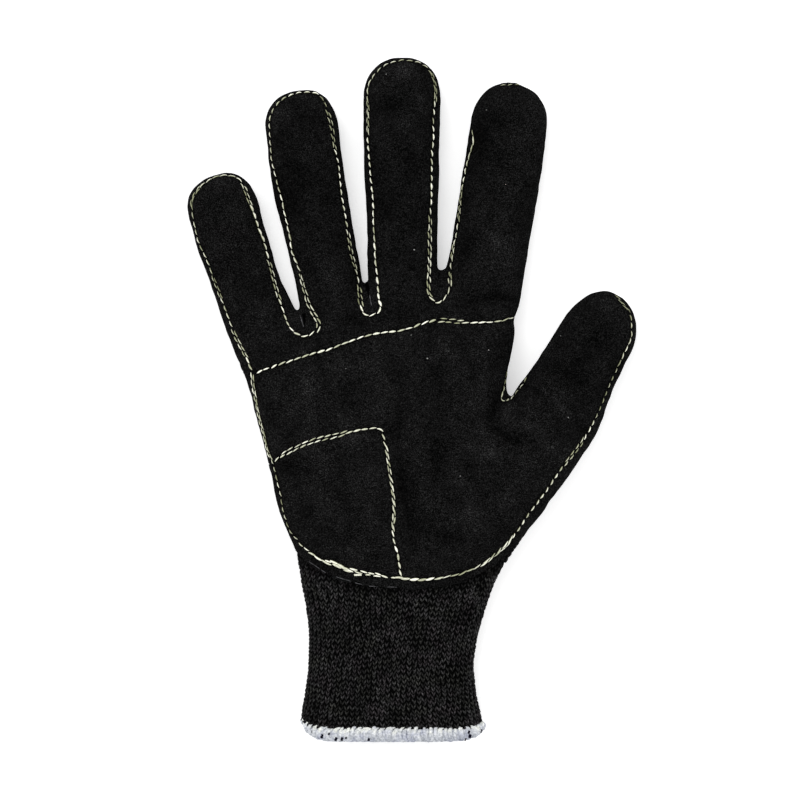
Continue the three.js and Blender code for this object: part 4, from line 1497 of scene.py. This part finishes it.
def make_details(tree):
    """Slits below the finger crotches, cut fibres along the suede's edge at the wrist, and lint."""
    # The wedges are painted shadow in the slits' openings.
    shadow = plain_material("slit_painted_shadow", 0.95, 0.0, (0.001, 0.001, 0.001))
    fibre = fibre_material()
    wedges = [strand_on(tree, slit["wedge"], (slit["half_width"], 0.1), 0.16, -0.02) for slit in SLITS]
    make_piece("slit_shadow_wedges", *joined(wedges), shadow, "suede")
    lines = [slit["edge"] for slit in SLITS if slit["edge"]]
    pale = [strand_on(tree, line, (0.1, 0.14), 0.12, 0.08) for line in lines]
    make_piece("slit_edges", *joined(pale), fibre, "suede")
    cut = [strand_on(tree, line, (0.11, 0.1), 0.11, 0.06) for line in CUT_FIBRES]
    make_piece("wrist_cut_fibres", *joined(cut), fibre, "suede")
    rng = np.random.default_rng(SEED + 8)
    bits = []
    for x, y, size in LINT:
        bend = rng.uniform(0, 2 * math.pi)
        line = short_line(x, y, size * math.cos(bend), size * math.sin(bend))
        bits.append(strand_on(tree, line, 0.75 * size, 0.13, 0.04, 6, 0.15))
    lint = plain_material("white_lint", 0.8, 0.1, (0.36, 0.36, 0.35))
    make_piece("lint", *joined(bits), lint, "suede")


def mouth_field(points):
    """How far inside the hem, up from the knit's cut end, a point of the knit lies."""
    _, left, right, _ = TRUNK_ROWS[0]
    side = np.clip((points[:, 0] - (right + left) / 2) / ((right - left) / 2), -1, 1)
    down_the_cuff = points[:, 1] - mouth_rise(np.full(len(points), CUFF_END), side)
    field = down_the_cuff - CUFF_END - UNDER_HEM - hem_tuck(side)
    return np.where(points[:, 1] < CUFF_LIMIT, field, CLEAR_OF_CUT)


def make_knit():
    """A hollow shell for the whole knitted glove, and the loops on it."""
    material = knit_material()
    points, triangles = hand_skin(KNIT_OFFSET, KNIT_VOXEL, KNIT_PASSES, CUFF_END - BEYOND_MOUTH)
    skin_tree = tree_of(points, triangles)
    wall, faces = clipped(points, triangles, mouth_field(points))
    inner = wall - point_normals(wall, faces) * (KNIT_WALL + KNIT_OFFSET)
    solid, walls = thickened(wall, inner, faces, KNIT_RIM)
    # Painted shade: the outer face, seen between the loops, is nearly black. Its inner face and rim keep the
    # yarn's tone.
    tones = np.concatenate([np.full(len(wall), SHELL_SHADE_TONE), np.ones(len(solid) - len(wall))])
    shell = make_piece("knit_shell", solid, walls, material, "knit", tones)
    names = ["knit_" + part for part in ("cuff", "hand", *DIGITS)]
    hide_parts(*names)

    rng = np.random.default_rng(SEED + 6)
    stations = np.arange(CUFF_END + FIRST_COURSE, TRUNK_ROWS[-1][0], TUBE_STEP)
    trunk = knit_tube(trunk_rings(stations, TUBE_SIDES, KNIT_OFFSET), TRUNK_WALES, COURSE, WALE)
    at_cuff = trunk[0][:, 1] < WRIST_LINE
    tubes = {"cuff": [part[at_cuff] for part in trunk], "hand": [part[~at_cuff] for part in trunk]}
    for name, digit in DIGITS.items():
        rings = digit_rings(digit, TUBE_STEP, DIGIT_TUBE_SIDES, KNIT_OFFSET)
        tubes[name] = knit_tube(rings, DIGIT_WALES, COURSE, DIGIT_WALE)
    for name, tube in tubes.items():
        points, faces, tone = shown_loops(tube, skin_tree, rng)
        make_piece("knit_loops_" + name, points, faces, material, "knit", tone)


# Hem: where it ends, its size, the yarn that wraps it, and how it shrinks and draws in at the sides
HEM_END = -128.6
HEM_LENGTH = 4.6
HEM_HALF_DEPTH = 1.5
HEM_THREAD = 0.6
HEM_WIDENING = 1.35
HEM_PITCH = 1.25
HEM_SHRINK_LEFT = 0.55
HEM_SHRINK_RIGHT = 0.45
HEM_SHRINK_POWER = 8
HEM_TOOTH = 2.65
HEM_TOOTH_HEIGHT = 0.7
HEM_SLANT = 1.4
HEM_ROUNDNESS = 0.7
HEM_TUCK_LEFT = 1.1
HEM_TUCK_RIGHT = 0.3
HEM_TUCK_POWER = 4
HEM_ANGLES = 720
# The core, seen between the wraps, is darkened: painted shade in the grooves.
HEM_CORE_SHADE = 0.3

# A wrap of yarn runs from turn to minus turn, in degrees, and thins from taper on. Shifts are by chance.
WRAP_TURN = 172
WRAP_TAPER = 130
WRAP_STEPS = 20
WRAP_SIDES = 7
WRAP_TIP = 0.4
WRAP_SHIFT = 0.22
WRAP_HEIGHT_SHIFT = 0.4
WRAP_WANDER = 0.06
WRAP_DEPTH_SHIFT = 0.14
WRAP_LUMPS = 0.22
WRAP_PUFFS = 0.2
WRAP_SIZE_RANGE = (0.8, 1.15)

# Specks are set only on the part of the hem that lies higher than this.
SPECK_LEAST_HEIGHT = 9.6

# Dark ends of knitting yarn that show through the hem, from the palm side. Columns: x, y, size
HEM_SPECKS = [
    (-33.6, -127.5, 0.5), (-31.0, -126.7, 0.35), (-28.3, -128.6, 0.45), (-26.0, -128.6, 0.45),
    (-24.5, -128.2, 0.3), (-15.8, -128.7, 0.45), (22.2, -126.0, 0.45), (22.6, -127.5, 0.5),
    (26.8, -125.6, 0.45), (-41.2, -121.0, 0.45), (-40.1, -122.1, 0.4), (-39.0, -123.3, 0.35),
]


def hem_tuck(side):
    """How far the hem draws in at the cuff's two sides. side runs from -1 to 1 across the cuff."""
    return np.where(side < 0, HEM_TUCK_LEFT, HEM_TUCK_RIGHT) * np.abs(side) ** HEM_TUCK_POWER


def hem_loops(hem_point, circumference, rng):
    """Slanted wraps of yarn round the hem, and the tone of each of their points, with painted shade where
    they turn round the mouth's edge.
    """
    count = int(circumference / HEM_PITCH)
    share = (np.arange(count) + rng.uniform(-WRAP_SHIFT, WRAP_SHIFT, count)) / count
    turn = np.radians(np.linspace(WRAP_TURN, -WRAP_TURN, WRAP_STEPS))
    tooth = np.abs((share * circumference / HEM_TOOTH) % 1 - 0.5) * 2
    height = HEM_LENGTH + HEM_TOOTH_HEIGHT * (tooth - 0.5)
    height = height + rng.uniform(-WRAP_HEIGHT_SHIFT, WRAP_HEIGHT_SHIFT, count)
    slant = HEM_SLANT * rng.normal(1, 0.5, (count, 1)) / circumference * np.sin(turn)
    wander = np.cumsum(rng.normal(0, WRAP_WANDER, (count, len(turn))), axis=1) / circumference
    where = share[:, None] + slant + wander
    level = np.broadcast_to(height[:, None], where.shape)
    bend = np.broadcast_to(turn, where.shape)
    lumps = share[:, None] * circumference * 1.1 + 1.5 * turn + rng.uniform(0, 2, (count, 1))
    depth = HEM_HALF_DEPTH - 0.5 * HEM_THREAD + rng.uniform(-WRAP_DEPTH_SHIFT, WRAP_DEPTH_SHIFT, (count, 1))
    depth = depth + WRAP_LUMPS * np.sin(lumps)
    centre = hem_point(where, bend, level, depth)
    centre[..., 2] = np.maximum(centre[..., 2], HEM_THREAD)
    nudge = 0.1 / circumference
    beyond = hem_point(where + nudge, bend, level, depth)
    tangent = unit(beyond - hem_point(where - nudge, bend, level, depth))
    ahead = unit(np.gradient(centre, axis=1))
    up = unit(np.cross(tangent, ahead))
    across = unit(np.cross(ahead, up))
    puffs = 1 + WRAP_PUFFS * np.sin(np.arange(len(turn)) * 2.1 + rng.uniform(0, 6.3, (count, 1)))
    taper = 1 - 0.55 * smoothstep(np.abs(np.degrees(turn)), WRAP_TAPER, WRAP_TURN)
    high = HEM_THREAD * rng.uniform(*WRAP_SIZE_RANGE, (count, 1)) * puffs * taper
    points, faces = strands(centre, across, up, HEM_WIDENING * high, high, WRAP_SIDES, WRAP_TIP)
    near_end = np.abs(np.degrees(turn)) / WRAP_TURN
    # Painted shade: each wrap is darker where it turns round the mouth's edge and paler towards the top.
    tone = 0.28 + 0.62 * smoothstep(near_end, 0.35, 0.75) + rng.uniform(-0.14, 0.14, (count, 1))
    tone = tone + rng.uniform(-0.08, 0.08, tone.shape)
    tones = np.concatenate([np.repeat(tone, WRAP_SIDES, axis=1), tone[:, :1], tone[:, -1:]], axis=1)
    return points, faces, np.clip(tones, 0, 1).ravel()


def make_hem():
    """The overlocked edge: a rounded core wrapped in yarn round the cuff's mouth."""
    material = hem_material()
    rng = np.random.default_rng(SEED + 7)
    ring = trunk_rings([CUFF_END + HEM_LENGTH / 2], HEM_ANGLES, 0)[0]
    closed = np.vstack([ring, ring[:1]])
    around = path_length(closed)
    angles = 2 * np.pi * (np.arange(HEM_ANGLES + 1) + 0.5) / HEM_ANGLES - np.pi / 2

    def hem_point(share, turn, height, depth):
        """A point of the hem's profile: turn runs from the outer face over the edge to the inner face."""
        angle = np.interp(share % 1, around / around[-1], angles)
        side = np.cos(angle)
        shrink = np.where(side < 0, HEM_SHRINK_LEFT, HEM_SHRINK_RIGHT) * np.abs(side) ** HEM_SHRINK_POWER
        y = HEM_END + (1 - shrink) * height / 2 * (1 - power(np.cos(turn), HEM_ROUNDNESS))
        outward = depth * power(np.sin(turn), HEM_ROUNDNESS)
        return trunk_surface(y, angle, -KNIT_WALL / 2 - hem_tuck(side) + outward)

    turns, steps = 20, 240
    turn, share = np.meshgrid(2 * np.pi * np.arange(turns) / turns, np.arange(steps) / steps, indexing="ij")
    core = hem_point(share, turn, np.full_like(turn, HEM_LENGTH - 0.3), HEM_HALF_DEPTH - 0.45 * HEM_THREAD)
    points = core.reshape(-1, 3)
    points[:, 2] = np.maximum(points[:, 2], 0.5 * HEM_THREAD)
    r, k = np.meshgrid(np.arange(turns), np.arange(steps), indexing="ij")
    r, k = r.ravel(), k.ravel()
    low, high = r * steps, (r + 1) % turns * steps
    after = (k + 1) % steps
    first = np.column_stack([low + k, high + after, low + after])
    faces = np.vstack([first, np.column_stack([low + k, high + k, high + after])])
    a, b, c = (points[faces[:, n]] for n in range(3))
    if np.einsum("nc,nc->n", a, np.cross(b, c)).sum() < 0:
        faces = faces[:, ::-1]
    core = make_piece("hem_core", points, faces, material, "hem", np.full(len(points), HEM_CORE_SHADE))
    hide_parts("cuff_hem")

    points, faces, tone = hem_loops(hem_point, around[-1], rng)
    make_piece("hem_thread", points, faces, material, "hem", tone)
    tree = tree_of(points, faces[points[faces[:, 0], 2] > SPECK_LEAST_HEIGHT])
    specks = []
    for x, y, size in HEM_SPECKS:
        line = short_line(x, y, 0.5 * size, 1.4 * size)
        specks.append(strand_on(tree, line, 1.15 * size, 0.3, 0.02, 8, 0.2, False))
    navy = plain_material("navy_yarn_ends", 0.9, 0.02, (0.006, 0.006, 0.014))
    make_piece("hem_dark_ends", *joined(specks), navy, "knit")


make_camera()
make_stage()
make_lights()
suede_skin = hand_skin(SUEDE_TOP, SUEDE_VOXEL, SUEDE_PASSES)
suede_tree = tree_of(*suede_skin)
stitch_paths = {
    name: laid_on(suede_tree, smooth_line(row["points"], PATH_STEP)) for name, row in STITCH_ROWS.items()
}
make_suede(suede_skin, stitch_paths)
make_thread(stitch_paths, suede_tree)
make_details(suede_tree)
make_knit()
make_hem()
